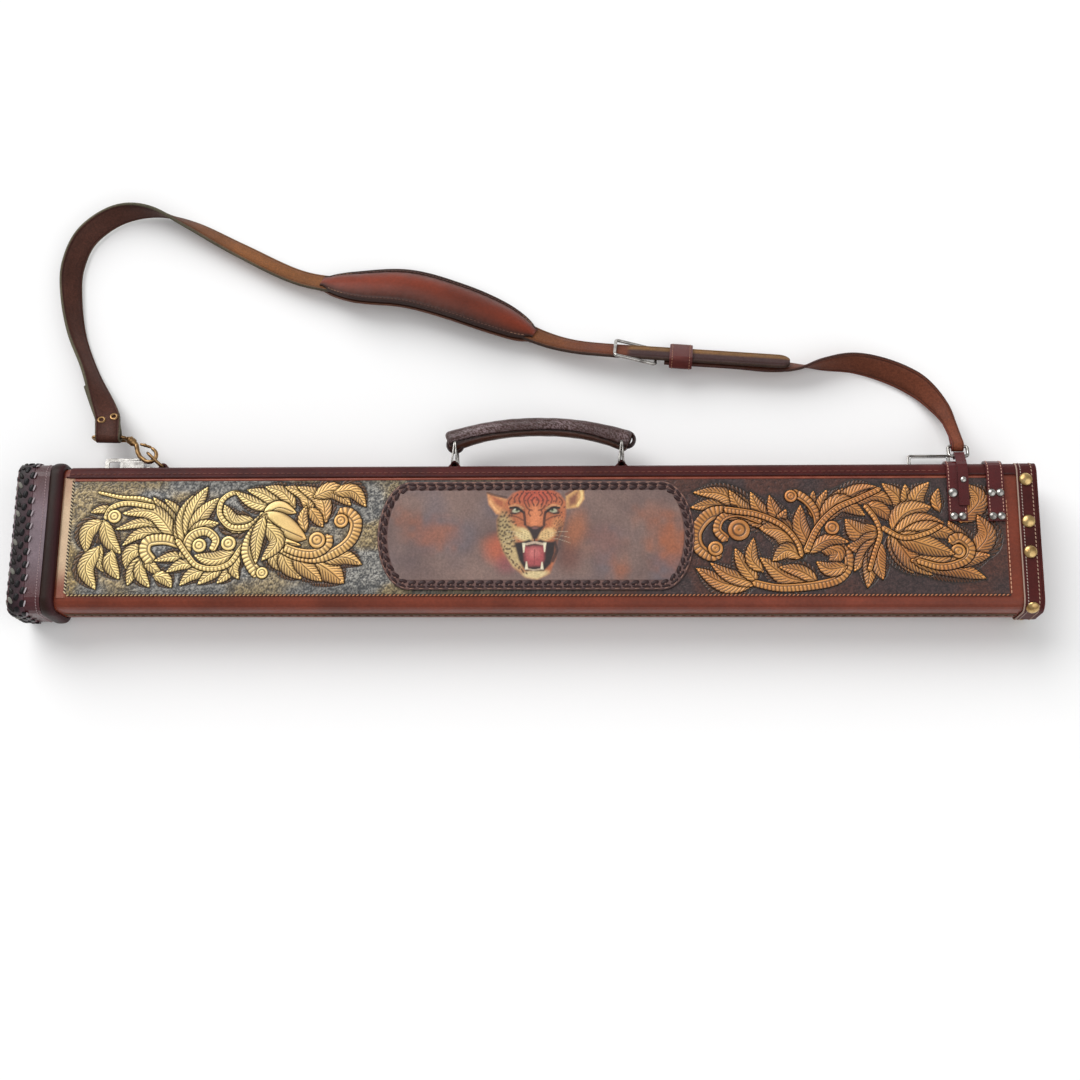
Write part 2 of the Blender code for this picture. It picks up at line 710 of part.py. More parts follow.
SHORT_ROUTE = (
    (123.5, 172.1, 13.0, -48),
    (153.0, 169.9, 13.0, -48),
    (186.0, 167.3, 13.0, -48),
    (216.0, 164.6, 11.8, -47),
    (240.0, 164.0, 10.6, -30),
    (262.0, 166.0, 11.4, 6),
    (290.0, 167.0, 10.6, 34),
    (320.0, 159.0, 9.2, 50),
    (345.0, 145.0, 9.0, 56),
    (362.0, 124.0, 12.5, 66),
    (368.5, 104.0, 22.0, 82),
)


def stand(row, ahead, width):
    """One strap station: its centre, its width direction from the lean, and its width."""
    x, y, z, lean = row
    heading = Vector((ahead[0] - x, ahead[1] - y, 0)).normalized()
    outward = Vector((-heading.y, heading.x, 0))
    turn = math.radians(lean)
    return Vector((x, y, z)) * MM, math.cos(turn) * UP + math.sin(turn) * outward, width


def strap_stations(route, per_span, width):
    rows = smooth_path(route, per_span)
    stations = []
    for i, row in enumerate(rows):
        ahead = rows[i + 1] if i + 1 < len(rows) else [2 * a - b for a, b in zip(row, rows[i - 1])]
        stations.append(stand(row, ahead, width))
    return stations


def folded_eye(bar, across, towards, thick, width, tail):
    """Stations of a strap end: its tail, the turn round the bar, and the way out on top."""
    across = across.normalized()
    away = towards - bar
    away = (away - away.dot(across) * across).normalized()
    top = away.cross(across)
    if top.z < 0:
        top = -top
    wrap = WIRE + EYE_PLAY + thick / 2
    below = thick + GAP
    stations = [(bar + tail * away - below * top, across, width)]
    stations.append((bar + (wrap + 5 * MM) * away - below * top, across, width))
    for k in range(7):
        angle = math.radians(-90 - 30 * k)
        ray = math.cos(angle) * away + math.sin(angle) * top
        stations.append((bar + wrap * ray, across, width))
    return stations


def build_long_strap():
    route = strap_stations(LONG_ROUTE, 3, STRAP_WIDTH)
    across = -strap_axis()
    eye = folded_eye(EYE_LEFT, across, route[2][0], STRAP_THICK, STRAP_WIDTH, 26 * MM)
    tip = route[-1]
    heading = (tip[0] - route[-2][0]).normalized()
    for ahead, width in ((4 * MM, 20 * MM), (8 * MM, 15 * MM), (11 * MM, 7 * MM)):
        route.append((tip[0] + ahead * heading, tip[1], width))
    ribbon("strap_long", eye + route[1:], STRAP_THICK, STRAP)
    return route


def build_short_strap():
    thick = 2.6 * MM
    route = strap_stations(SHORT_ROUTE, 3, STRAP_WIDTH)
    slim = len(route)
    route = [
        (centre, across, width - 11.5 * MM * max(0, (i - slim + 7) / 6) ** 1.2)
        for i, (centre, across, width) in enumerate(route)
    ]
    eye = folded_eye(EYE_RIGHT, strap_axis(), route[-2][0], 2.2 * MM, 10 * MM, 22 * MM)
    stations = route[:-1] + [station for station in reversed(eye)]
    ribbon("strap_short", stations, thick, STRAP)
    return route


def ride_frame(route, place):
    """The strap's own frame at the station nearest to place: centre, along, across, out."""
    index = min(range(len(route)), key=lambda i: (route[i][0] - place).length)
    centre, across, _ = route[index]
    along = (route[min(index + 1, len(route) - 1)][0] - route[max(index - 1, 0)][0]).normalized()
    across = (across - across.dot(along) * along).normalized()
    out = along.cross(across)
    return centre, along, across, out if out.z > 0 else -out


def build_pad(route):
    """A long lens of leather on the strap's outer face, and its backing."""
    start, end = Vector((-181, 247, 10)) * MM, Vector((8, 196, 10)) * MM
    first = min(range(len(route)), key=lambda i: (route[i][0] - start).length)
    last = min(range(len(route)), key=lambda i: (route[i][0] - end).length)
    upper, lower = [], []
    for i in range(first, last + 1):
        share = (i - first) / (last - first)
        width = 48 * MM * max(0.12, math.sin(math.pi * share)) ** 0.55
        centre, _, across, out = ride_frame(route, route[i][0])
        lift = STRAP_THICK / 2 + 1.5 * GAP
        upper.append((centre + (lift + 3 * MM) * out, across, width))
        lower.append((centre - (lift + 1 * MM) * out, across, width * 0.96))
    ribbon("shoulder_pad", upper, 6 * MM, STRAP)
    ribbon("pad_backing", lower, 2 * MM, STRAP)


def build_buckle(route):
    centre, along, across, out = ride_frame(route, Vector((98, 177, 16)) * MM)
    near = centre - 18 * MM * along + (STRAP_THICK / 2 + 2 * GAP + WIRE) * out
    far = centre + 18 * MM * along - (STRAP_THICK / 2 + 2 * GAP + WIRE) * out
    build_link("strap_buckle", near, far, across, STRAP_WIDTH / 2 + 3.2 * MM)


def build_keeper(route):
    """A loop round both straps, which slides along their straight overlap."""
    centre, along, across, out = ride_frame(route, Vector((138, 173.7, 16)) * MM)
    centre = centre - 1.6 * MM * out
    half_out, half_across, wall = 4.4 * MM, 12.6 * MM, 1.5 * MM
    points, faces = [], []
    for reach, grow in ((-10, wall), (10, wall), (10, 0), (-10, 0)):
        for a, b in ((1, 1), (-1, 1), (-1, -1), (1, -1)):
            points.append(
                centre
                + reach * MM * along
                + a * (half_across + grow) * across
                + b * (half_out + grow) * out
            )
    for ring in range(4):
        for k in range(4):
            n = (k + 1) % 4
            after = 4 * ((ring + 1) % 4)
            faces.append((4 * ring + k, 4 * ring + n, after + n, after + k))
    return add_mesh("strap_keeper", points, faces, BURGUNDY)


def build_strap_rivets(route):
    """Two eyelet heads that close the folded end round the swivel link."""
    centre, along, across, out = ride_frame(route, Vector((-369, 118, 20)) * MM)
    for k, shift in enumerate((-5.5, 5.5)):
        place = centre + shift * MM * across + (STRAP_THICK / 2 + 1.5 * GAP) * out
        dome(f"strap_eyelet_{k + 1}", place, out, 3.8 * MM, 1.2 * MM, BRASS, sides=10)


def build_strap():
    long_route = build_long_strap()
    build_short_strap()
    build_pad(long_route)
    build_buckle(long_route)
    build_keeper(long_route)
    build_strap_rivets(long_route)


build_body()
build_front()
build_top_gusset()
build_back()
build_closed_end()
build_cap()
build_handle()
build_zip()
build_tabs()
build_hook_side()
build_strap()
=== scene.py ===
"""Looks for the leather cue case: carved front, picture plaque, laced cap, straps and hardware.

Metres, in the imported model's frame: +X from the cap to the closed end, +Y the handle side, +Z out
of the decorated front. Tables of places are in millimetres."""

import math

import bpy
import numpy as np
from mathutils import Matrix, Vector


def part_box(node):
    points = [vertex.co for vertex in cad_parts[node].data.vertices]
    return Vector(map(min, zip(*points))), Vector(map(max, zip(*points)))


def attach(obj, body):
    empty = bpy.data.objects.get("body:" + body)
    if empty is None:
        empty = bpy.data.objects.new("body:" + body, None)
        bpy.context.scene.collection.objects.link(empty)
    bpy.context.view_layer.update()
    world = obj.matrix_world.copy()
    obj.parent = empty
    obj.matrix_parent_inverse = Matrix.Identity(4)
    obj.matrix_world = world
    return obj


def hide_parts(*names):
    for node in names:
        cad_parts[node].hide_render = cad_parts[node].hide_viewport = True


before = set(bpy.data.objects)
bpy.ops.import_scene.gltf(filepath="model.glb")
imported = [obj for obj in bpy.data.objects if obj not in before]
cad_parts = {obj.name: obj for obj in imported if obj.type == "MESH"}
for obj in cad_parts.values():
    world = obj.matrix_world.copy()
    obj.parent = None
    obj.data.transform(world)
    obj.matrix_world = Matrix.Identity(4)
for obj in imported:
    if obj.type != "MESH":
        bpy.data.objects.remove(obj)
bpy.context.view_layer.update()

MM = 0.001
UP = Vector((0, 0, 1))
EAST = Vector((1, 0, 0))
NORTH = Vector((0, 1, 0))

CAMERA_PLACE = (0.0853, -0.3503, 1.3845)
CAMERA_RIGHT = Vector((0.9988, 0.0102, -0.0482))
CAMERA_AHEAD = Vector((-0.0493, 0.2515, -0.9666))
FLOOR_REACH = 6
FLOOR_DROP = 0.3 * MM


def tone(red, green, blue):
    """Linear colour from screen values of 0 to 255."""
    return tuple(
        c / 255 / 12.92 if c <= 10 else ((c / 255 + 0.055) / 1.055) ** 2.4
        for c in (red, green, blue)
    )


# --- camera, light and floor ------------------------------------------------------------------


def set_camera():
    lens = bpy.data.cameras.new("camera")
    lens.lens = 55.0
    lens.sensor_width = 36
    lens.clip_start = 0.05
    camera = bpy.data.objects.new("camera", lens)
    bpy.context.scene.collection.objects.link(camera)
    ahead = CAMERA_AHEAD.normalized()
    right = (CAMERA_RIGHT - CAMERA_RIGHT.dot(ahead) * ahead).normalized()
    above = right.cross(ahead)
    turn = Matrix((right, above, -ahead)).transposed().to_4x4()
    camera.matrix_world = Matrix.Translation(CAMERA_PLACE) @ turn
    bpy.context.scene.camera = camera


def add_sun(name, direction, power, spread):
    """A broad soft light from a direction."""
    data = bpy.data.lights.new(name, "SUN")
    data.energy = power
    data.angle = math.radians(spread)
    light = bpy.data.objects.new(name, data)
    light.rotation_euler = (-Vector(direction)).to_track_quat("-Z", "Y").to_euler()
    bpy.context.scene.collection.objects.link(light)


def set_stage():
    world = bpy.data.worlds.new("studio")
    world.use_nodes = True
    world.node_tree.nodes["Background"].inputs["Color"].default_value = (1, 1, 1, 1)
    world.node_tree.nodes["Background"].inputs["Strength"].default_value = 0.45
    bpy.context.scene.world = world
    bpy.context.scene.view_settings.view_transform = "Standard"
    bpy.context.scene.view_settings.look = "None"
    add_sun("key", (-0.55, 0.75, 0.8), 2.2, 50)
    add_sun("fill", (0.6, -0.5, 0.9), 0.9, 70)
    mesh = bpy.data.meshes.new("floor")
    far = FLOOR_REACH
    corners = [(-far, -far, 0), (far, -far, 0), (far, far, 0), (-far, far, 0)]
    mesh.from_pydata(corners, [], [(0, 1, 2, 3)])
    floor = bpy.data.objects.new("floor", mesh)
    floor.location.z = -FLOOR_DROP
    bpy.context.scene.collection.objects.link(floor)
    paint = bpy.data.materials.new("floor_paint")
    paint.use_nodes = True
    shader = paint.node_tree.nodes["Principled BSDF"]
    shader.inputs["Base Color"].default_value = (0.93, 0.93, 0.93, 1)
    shader.inputs["Roughness"].default_value = 0.9
    mesh.materials.append(paint)


# --- materials --------------------------------------------------------------------------------


class Finish:
    """A Principled material with short calls for its nodes."""

    def __init__(self, name, rough=0.5, metal=0.0, coat=0.0, coat_rough=0.2, spec=0.5, sheen=0.0):
        self.mat = bpy.data.materials.new(name)
        self.mat.use_nodes = True
        self.tree = self.mat.node_tree
        self.shader = self.tree.nodes["Principled BSDF"]
        for key, value in (
            ("Roughness", rough),
            ("Metallic", metal),
            ("Coat Weight", coat),
            ("Coat Roughness", coat_rough),
            ("Specular IOR Level", spec),
            ("Sheen Weight", sheen),
        ):
            self.shader.inputs[key].default_value = value
        self.place = self.add("TexCoord").outputs["Object"]

    def add(self, kind, props=(), **inputs):
        node = self.tree.nodes.new("ShaderNode" + kind)
        for key, value in dict(props).items():
            setattr(node, key, value)
        for key, value in inputs.items():
            self.put(node.inputs[key.replace("_", " ")], value)
        return node

    def put(self, socket, value):
        if isinstance(value, bpy.types.NodeSocket):
            self.tree.links.new(value, socket)
        elif isinstance(value, tuple) and len(value) == 3 and socket.type == "RGBA":
            socket.default_value = (*value, 1)
        else:
            socket.default_value = value

    def painted(self):
        """The colour stored in the mesh."""
        return self.add("Attribute", {"attribute_name": "tone"}).outputs["Color"]

    def noise(self, scale, detail, stretch=None):
        vector = self.place
        if stretch:
            vector = self.add("Mapping", Vector=vector, Scale=stretch).outputs[0]
        node = self.add("TexNoise", Vector=vector, Scale=scale, Detail=detail, Roughness=0.55)
        return node.outputs["Fac"]

    def cells(self, scale, warp):
        """Distance to the edges of slightly bent cells, as in leather grain."""
        bend = self.add("TexNoise", Vector=self.place, Scale=scale * 0.8, Detail=2).outputs["Color"]
        mixer = self.add("Mix", {"data_type": "VECTOR"})
        for index, value in ((0, warp), (4, self.place), (5, bend)):
            self.put(mixer.inputs[index], value)
        edges = {"feature": "DISTANCE_TO_EDGE"}
        node = self.add("TexVoronoi", edges, Vector=mixer.outputs[1], Scale=scale)
        return node.outputs["Distance"]

    def ramp(self, fac, *stops):
        node = self.add("ValToRGB", Fac=fac)
        band = node.color_ramp
        while len(band.elements) < len(stops):
            band.elements.new(0.5)
        for element, (place, value) in zip(band.elements, stops):
            element.position = place
            element.color = (value,) * 3 + (1,) if isinstance(value, (int, float)) else (*value, 1)
        return node.outputs["Color"]

    def mix(self, fac, first, second, blend="MIX"):
        node = self.add("Mix", {"data_type": "RGBA", "blend_type": blend})
        for socket, value in zip((node.inputs[0], node.inputs[6], node.inputs[7]), (fac, first, second)):
            self.put(socket, value)
        return node.outputs[2]

    def sum(self, *terms):
        """Weighted sum of (socket, weight)."""
        total = 0.0
        for socket, weight in terms:
            node = self.add("Math", {"operation": "MULTIPLY_ADD"})
            for slot, value in zip(node.inputs, (socket, weight, total)):
                self.put(slot, value)
            total = node.outputs[0]
        return total

    def bump(self, height, distance, strength=1.0):
        node = self.add("Bump", Height=height, Distance=distance, Strength=strength)
        self.put(self.shader.inputs["Normal"], node.outputs[0])

    def colour(self, socket):
        self.put(self.shader.inputs["Base Color"], socket)

    def roughness(self, socket):
        self.put(self.shader.inputs["Roughness"], socket)


def leather(name, base, depth, rough, grain, relief, coat, streak=None, spec=0.3):
    """Leather with patina, grain and pores; base is a colour, a function, or None for the mesh's own."""
    f = Finish(name, rough, coat=coat, coat_rough=0.25, spec=spec)
    colour = f.painted() if base is None else base(f) if callable(base) else base
    cloud = f.ramp(f.noise(22, 4), (0.3, 1 - depth), (0.7, 1.12))
    fine = f.ramp(f.noise(420, 3), (0.25, 0.82), (0.75, 1.12))
    colour = f.mix(1.0, colour, cloud, "MULTIPLY")
    colour = f.mix(1.0, colour, fine, "MULTIPLY")
    if streak:
        lines = f.ramp(f.noise(120, 3, streak), (0.35, 0.72), (0.65, 1.15))
        colour = f.mix(1.0, colour, lines, "MULTIPLY")
    f.colour(colour)
    cell = f.cells(grain, 0.0009)
    pits = f.ramp(cell, (0.0, 0.0), (0.18, 1.0))
    f.roughness(f.sum((f.noise(90, 3), 0.3), (pits, -0.06), (1.0, rough - 0.1)))
    height = f.sum((pits, 0.6), (f.noise(260, 3), 0.9))
    f.bump(height, relief * MM)
    return f.mat


def cap_tones_with_painted_sheen(f):
    """Burgundy toward the cap's edges, with a painted grey violet sheen along the middle of its faces."""
    place = f.add("SeparateXYZ", Vector=f.place).outputs["Y"]
    away = f.add("Math", {"operation": "ABSOLUTE"}, Value=place).outputs[0]
    kind = {"interpolation_type": "SMOOTHSTEP"}
    share = f.add("MapRange", kind, Value=away, From_Min=0.012, From_Max=0.056).outputs[0]
    return f.mix(share, tone(122, 102, 110), tone(76, 34, 38))


def metal(name, base, dull, rough):
    f = Finish(name, rough, metal=1.0)
    tarnish = f.ramp(f.noise(160, 4), (0.35, 0.0), (0.7, 1.0))
    f.colour(f.mix(tarnish, base, dull))
    marks = f.noise(500, 2, (1, 6, 6))
    f.roughness(f.sum((marks, 0.125), (tarnish, 0.12), (1.0, rough - 0.1)))
    f.bump(f.sum((f.noise(700, 2), 1.0)), 0.03 * MM, 0.6)
    return f.mat


def tinted(name, rough, metallic, coat, relief, scale=1400):
    """A finish that takes its colour from the mesh, with a fine tooth."""
    f = Finish(name, rough, metal=metallic, coat=coat)
    fine = f.ramp(f.noise(scale * 0.6, 3), (0.25, 0.85), (0.75, 1.12))
    f.colour(f.mix(1.0, f.painted(), fine, "MULTIPLY"))
    f.roughness(f.sum((f.noise(300, 3), 0.3), (1.0, rough - 0.12)))
    f.bump(f.noise(scale, 3), relief * MM)
    return f.mat


def fabric(name, base, scale=1600):
    f = Finish(name, 0.9, sheen=0.3)
    threads = []
    for way in "XY":
        wave = f.add("TexWave", {"bands_direction": way}, Vector=f.place, Scale=scale * 0.4)
        threads.append((wave.outputs["Fac"], 0.5))
    f.colour(f.mix(1.0, base, f.ramp(f.noise(scale, 2), (0.3, 0.6), (0.7, 1.25)), "MULTIPLY"))
    f.bump(f.sum(*threads), 0.1 * MM)
    return f.mat


M = {
    "mahogany": leather("mahogany_leather", tone(122, 52, 31), 0.34, 0.4, 700, 0.05, 0.12),
    "burgundy": leather("burgundy_leather", tone(76, 25, 23), 0.45, 0.5, 800, 0.06, 0.05, None, 0.15),
    "cap": leather("cap_leather", cap_tones_with_painted_sheen, 0.35, 0.3, 800, 0.06, 0.3),
    "tab": leather("tab_leather", tone(78, 16, 18), 0.4, 0.3, 900, 0.04, 0.25),
    "lace": leather("lace_leather", None, 0.3, 0.36, 1200, 0.05, 0.05, None, 0.2),
    "strap": leather("strap_leather", None, 0.3, 0.6, 1000, 0.08, 0.02, (6, 6, 6), 0.18),
    "pad": leather("pad_leather", None, 0.28, 0.46, 900, 0.07, 0.06, None, 0.18),
    "grip": leather("grip_leather", None, 0.3, 0.32, 640, 0.45, 0.35),
    "carved": tinted("carved_leather", 0.36, 0.25, 0.25, 0.04),
    "print": tinted("printed_leather", 0.55, 0.0, 0.05, 0.05, 900),
    "thread": tinted("thread", 0.7, 0.0, 0.0, 0.05, 2500),
    "brass": metal("brass", tone(220, 190, 132), tone(140, 104, 62), 0.28),
    "antique": metal("antique_brass", tone(176, 140, 96), tone(82, 60, 40), 0.34),
    "steel": metal("nickel", tone(190, 187, 182), tone(118, 114, 110), 0.2),
    "tape": fabric("zip_tape", tone(52, 36, 34)),
    "lining": fabric("flock_lining", tone(40, 34, 36), 900),
    "wood": leather("plain_wood", tone(160, 120, 80), 0.4, 0.6, 300, 0.1, 0.0, (1, 12, 12)),
    "fibre": leather("fibre_board", tone(110, 85, 62), 0.4, 0.8, 500, 0.1, 0.0),
}


# --- mesh building ----------------------------------------------------------------------------


def mm(*places):
    """Vectors in metres for places in millimetres."""
    return [Vector(place) * MM for place in places]


def oval(centre, side, lift, count):
    """Points round an ellipse whose half axes are the vectors side and lift."""
    turns = [2 * math.pi * k / count for k in range(count)]
    return [centre + math.cos(turn) * side + math.sin(turn) * lift for turn in turns]


def quarter(radius, start, steps):
    """Offsets along a quarter circle that begins at start degrees."""
    turns = [math.radians(start + 90 * k / steps) for k in range(steps + 1)]
    return [(radius * math.cos(turn), radius * math.sin(turn)) for turn in turns]


class Soup:
    """Points, faces and tones gathered for one piece."""

    def __init__(self):
        self.points, self.faces, self.tones = [], [], []

    def rings(self, rings, tones, closed=False, caps=True):
        """Joins rings of points; tones is one colour, one per ring, or one per point of a ring."""
        base, count = len(self.points), len(rings[0])
        for r, ring in enumerate(rings):
            self.points.extend(ring)
            if isinstance(tones, tuple):
                self.tones.extend([tones] * count)
            elif len(tones) == len(rings):
                self.tones.extend([tones[r]] * count)
            else:
                self.tones.extend(tones)
        spans = len(rings) if closed else len(rings) - 1
        for r in range(spans):
            here, after = base + r * count, base + (r + 1) % len(rings) * count
            for k in range(count):
                n = (k + 1) % count
                self.faces.append((here + k, here + n, after + n, after + k))
        if caps and not closed:
            last = base + (len(rings) - 1) * count
            self.faces.append(tuple(base + k for k in reversed(range(count))))
            self.faces.append(tuple(last + k for k in range(count)))

    def tube(self, path, radius, colour, sides, closed=False, flat=1.0, up=None):
        """A round or flattened tube; flat is its height over its width, and up its flat normal."""
        path = [Vector(p) for p in path]
        count = len(path)
        radii = list(radius) if isinstance(radius, (list, tuple)) else [radius] * count
        if not closed:
            first = (path[0] - path[1]).normalized()
            last = (path[-1] - path[-2]).normalized()
            path = [path[0] + 0.75 * radii[0] * first] + path + [path[-1] + 0.75 * radii[-1] * last]
            radii = [radii[0] * 0.5] + radii + [radii[-1] * 0.5]
            count += 2
        rings, normal = [], up
        for i, centre in enumerate(path):
            ahead = path[(i + 1) % count] if closed or i < count - 1 else path[i]
            behind = path[i - 1] if closed or i else path[i]
            along = (ahead - behind).normalized()
            base = normal if normal is not None else along.orthogonal()
            side = along.cross(base).normalized()
            lift = side.cross(along)
            if up is None:
                normal = lift
            rings.append(oval(centre, radii[i] * side, radii[i] * flat * lift, sides))
        self.rings(rings, colour, closed)

    def bead(self, centre, along, normal, length, width, height, colour, sides=8, steps=5):
        """A rounded stitch or lobe lying on a surface."""
        along = along.normalized()
        side = normal.cross(along).normalized()
        rings = []
        for i in range(steps + 1):
            turn = math.pi * (0.06 + 0.88 * i / steps)
            swell = math.sin(turn) ** 0.6
            middle = centre - math.cos(turn) * length / 2 * along
            rings.append(oval(middle, swell * width / 2 * side, swell * height * normal, sides))
        self.rings(rings, colour)

    def make(self, name, finish, body, slot, nodes=(), sharp=50, floor=None):
        points = self.points
        if floor is not None:
            points = [Vector((p[0], p[1], max(p[2], floor))) for p in points]
        return make_piece(name, points, self.faces, finish, body, self.tones, nodes, sharp)


def make_piece(name, points, faces, finish, body, tones, nodes, sharp):
    mesh = bpy.data.meshes.new(name)
    mesh.from_pydata([tuple(p) for p in points], [], faces)
    mesh.shade_smooth()
    mesh.set_sharp_from_angle(angle=math.radians(sharp))
    if tones is not None and len(tones):
        store = mesh.color_attributes.new("tone", "FLOAT_COLOR", "POINT")
        rgba = np.ones((len(points), 4), np.float32)
        rgba[:, :3] = np.asarray(tones, np.float32)
        store.data.foreach_set("color", rgba.ravel())
    obj = bpy.data.objects.new(name, mesh)
    bpy.context.scene.collection.objects.link(obj)
    mesh.materials.append(M[finish])
    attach(obj, body)
    if nodes:
        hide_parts(*nodes)
    return obj


def resample(path, pitch, closed=False):
    """Evenly spaced (point, direction) along a path."""
    path = [Vector(p) for p in path] + ([Vector(path[0])] if closed else [])
    lengths = [(b - a).length for a, b in zip(path, path[1:])]
    total = sum(lengths)
    count = max(1, round(total / pitch))
    found, index, passed = [], 0, 0.0
    for k in range(count):
        want = (k + 0.5) * total / count
        while index < len(lengths) - 1 and passed + lengths[index] < want:
            passed += lengths[index]
            index += 1
        a, b = path[index], path[index + 1]
        found.append((a.lerp(b, (want - passed) / max(lengths[index], 1e-9)), (b - a).normalized()))
    return found


def sew(soup, path, normal, pitch, colour, long, width, height, tilt=0.0, closed=False):
    """Stitches along a path; normal is a vector or a function of the point."""
    for point, along in resample(path, pitch, closed):
        out = normal(point) if callable(normal) else normal
        turned = Matrix.Rotation(tilt, 3, out) @ along
        shade = colour(point) if callable(colour) else colour
        soup.bead(point, turned, out, pitch * long, width * MM, height * MM, shade)


def around(x, inset):
    """A closed path round the case at x, on the CAD's section drawn in by inset."""
    half, low, high = 62 - inset, 4.3 + inset, 52 - inset
    back, front = max(13 - inset, 2), max(9 - inset, 2)
    corners = (
        (half - front, high - front, front, 0),
        (front - half, high - front, front, 90),
        (back - half, low + back, back, 180),
        (half - back, low + back, back, 270),
    )
    points = []
    for y, z, radius, start in corners:
        points += mm(*[(x, y + dy, z + dz) for dy, dz in quarter(radius, start, 10)])
    return points


def outward(point):
    """The case's outward normal near a point of its section."""
    y, z = point.y / MM, point.z / MM
    core_y = max(-49, min(49, y)) if z < 28 else max(-53, min(53, y))
    core_z = max(17.3, min(43, z))
    ray = Vector((0, y - core_y, z - core_z))
    return ray.normalized() if ray.length > 1e-6 else UP


def scatter(x, y, pitch, seed):
    """Smooth random values from 0 to 1 on a lattice."""
    u, v = np.asarray(x) / pitch, np.asarray(y) / pitch
    i, j = np.floor(u), np.floor(v)
    fu, fv = u - i, v - j
    fu, fv = fu * fu * (3 - 2 * fu), fv * fv * (3 - 2 * fv)

    def value(a, b):
        raw = np.sin(a * 127.1 + b * 311.7 + seed * 74.7) * 43758.5453
        return raw - np.floor(raw)

    low = value(i, j) * (1 - fu) + value(i + 1, j) * fu
    high = value(i, j + 1) * (1 - fu) + value(i + 1, j + 1) * fu
    return low * (1 - fv) + high * fv


def smooth(low, high, value):
    t = np.clip((value - low) / (high - low), 0, 1)
    return t * t * (3 - 2 * t)


def blend_tones(a, b, share):
    """Mixes two colours, or fields of colours, by a field of shares."""
    share = np.clip(share, 0, 1)[..., None]
    return np.asarray(a) * (1 - share) + np.asarray(b) * share


def grid_piece(name, x, y, z, colours, foot, finish, nodes=()):
    """A dense relief on the case over an (x, y) grid in mm, with a skirt down to foot."""
    rows, columns = x.shape
    points = np.stack([x, y, z], -1).reshape(-1, 3)
    index = np.arange(rows * columns).reshape(rows, columns)
    faces = np.stack([index[:-1, :-1], index[:-1, 1:], index[1:, 1:], index[1:, :-1]], -1)
    faces = faces.reshape(-1, 4).tolist()
    rim = list(index[0, :]) + list(index[1:, -1]) + list(index[-1, -2::-1]) + list(index[-2:0:-1, 0])
    skirt = points[rim].copy()
    skirt[:, 2] = foot
    first, count = len(points), len(rim)
    for k in range(count):
        n = (k + 1) % count
        faces.append([int(rim[n]), int(rim[k]), first + k, first + n])
    tones = colours.reshape(-1, 3)
    tones = np.concatenate([tones, tones[rim] * 0.6])
    points = np.concatenate([points, skirt]) * MM
    make_piece(name, points.tolist(), faces, finish, "case", tones, nodes, 75)


# --- carved leaf work -------------------------------------------------------------------------

FIELD_Y = (-50, 48.5)
LEFT_X = (-381, -95)
RIGHT_X = (122, 402)
CELL = 0.42
GROUND_Z = 53.0
PANEL_FOOT = 52.2
GROOVE = 0.45


def spline(a, b, c, d, t):
    """Catmull-Rom between b and c."""
    bend, twist = 2 * a - 5 * b + 4 * c - d, 3 * b - a - 3 * c + d
    return 0.5 * (2 * b + (c - a) * t + bend * t**2 + twist * t**3)


def curve_points(controls, count=22):
    """A smooth line through a few (x, y) controls."""
    c = [np.array(p, float) for p in controls]
    c = [2 * c[0] - c[1]] + c + [2 * c[-1] - c[-2]]
    found = []
    for s in np.linspace(0, len(c) - 3 - 1e-6, count):
        found.append(spline(*c[int(s) : int(s) + 4], s - int(s)))
    return np.array(found)


def to_segment(px, py, start, end):
    """Distance from places to a segment, and how far along it their nearest points lie."""
    (x, y), (dx, dy) = start, (end[0] - start[0], end[1] - start[1])
    t = np.clip(((px - x) * dx + (py - y) * dy) / max(dx * dx + dy * dy, 1e-9), 0, 1)
    return np.hypot(px - x - t * dx, py - y - t * dy), t


def pebbles(x, y):
    return scatter(x, y, 0.9, 1) * 0.6 + scatter(x, y, 2.3, 2) * 0.4


def leaf_half(width, share):
    """Half the width of a leaf at a share of its length."""
    return width / 2 * np.sin(np.pi * np.clip(share, 0.012, 0.998) ** 0.78) ** 0.72


def crown(q):
    """A round back, from 1 on the middle line to 0 at the edge."""
    return np.sqrt(np.clip(1 - q * q, 0, 1))


def ripple(phase):
    """A wave from 0 to 1, once per unit of phase."""
    return 0.5 + 0.5 * np.cos(2 * np.pi * phase)


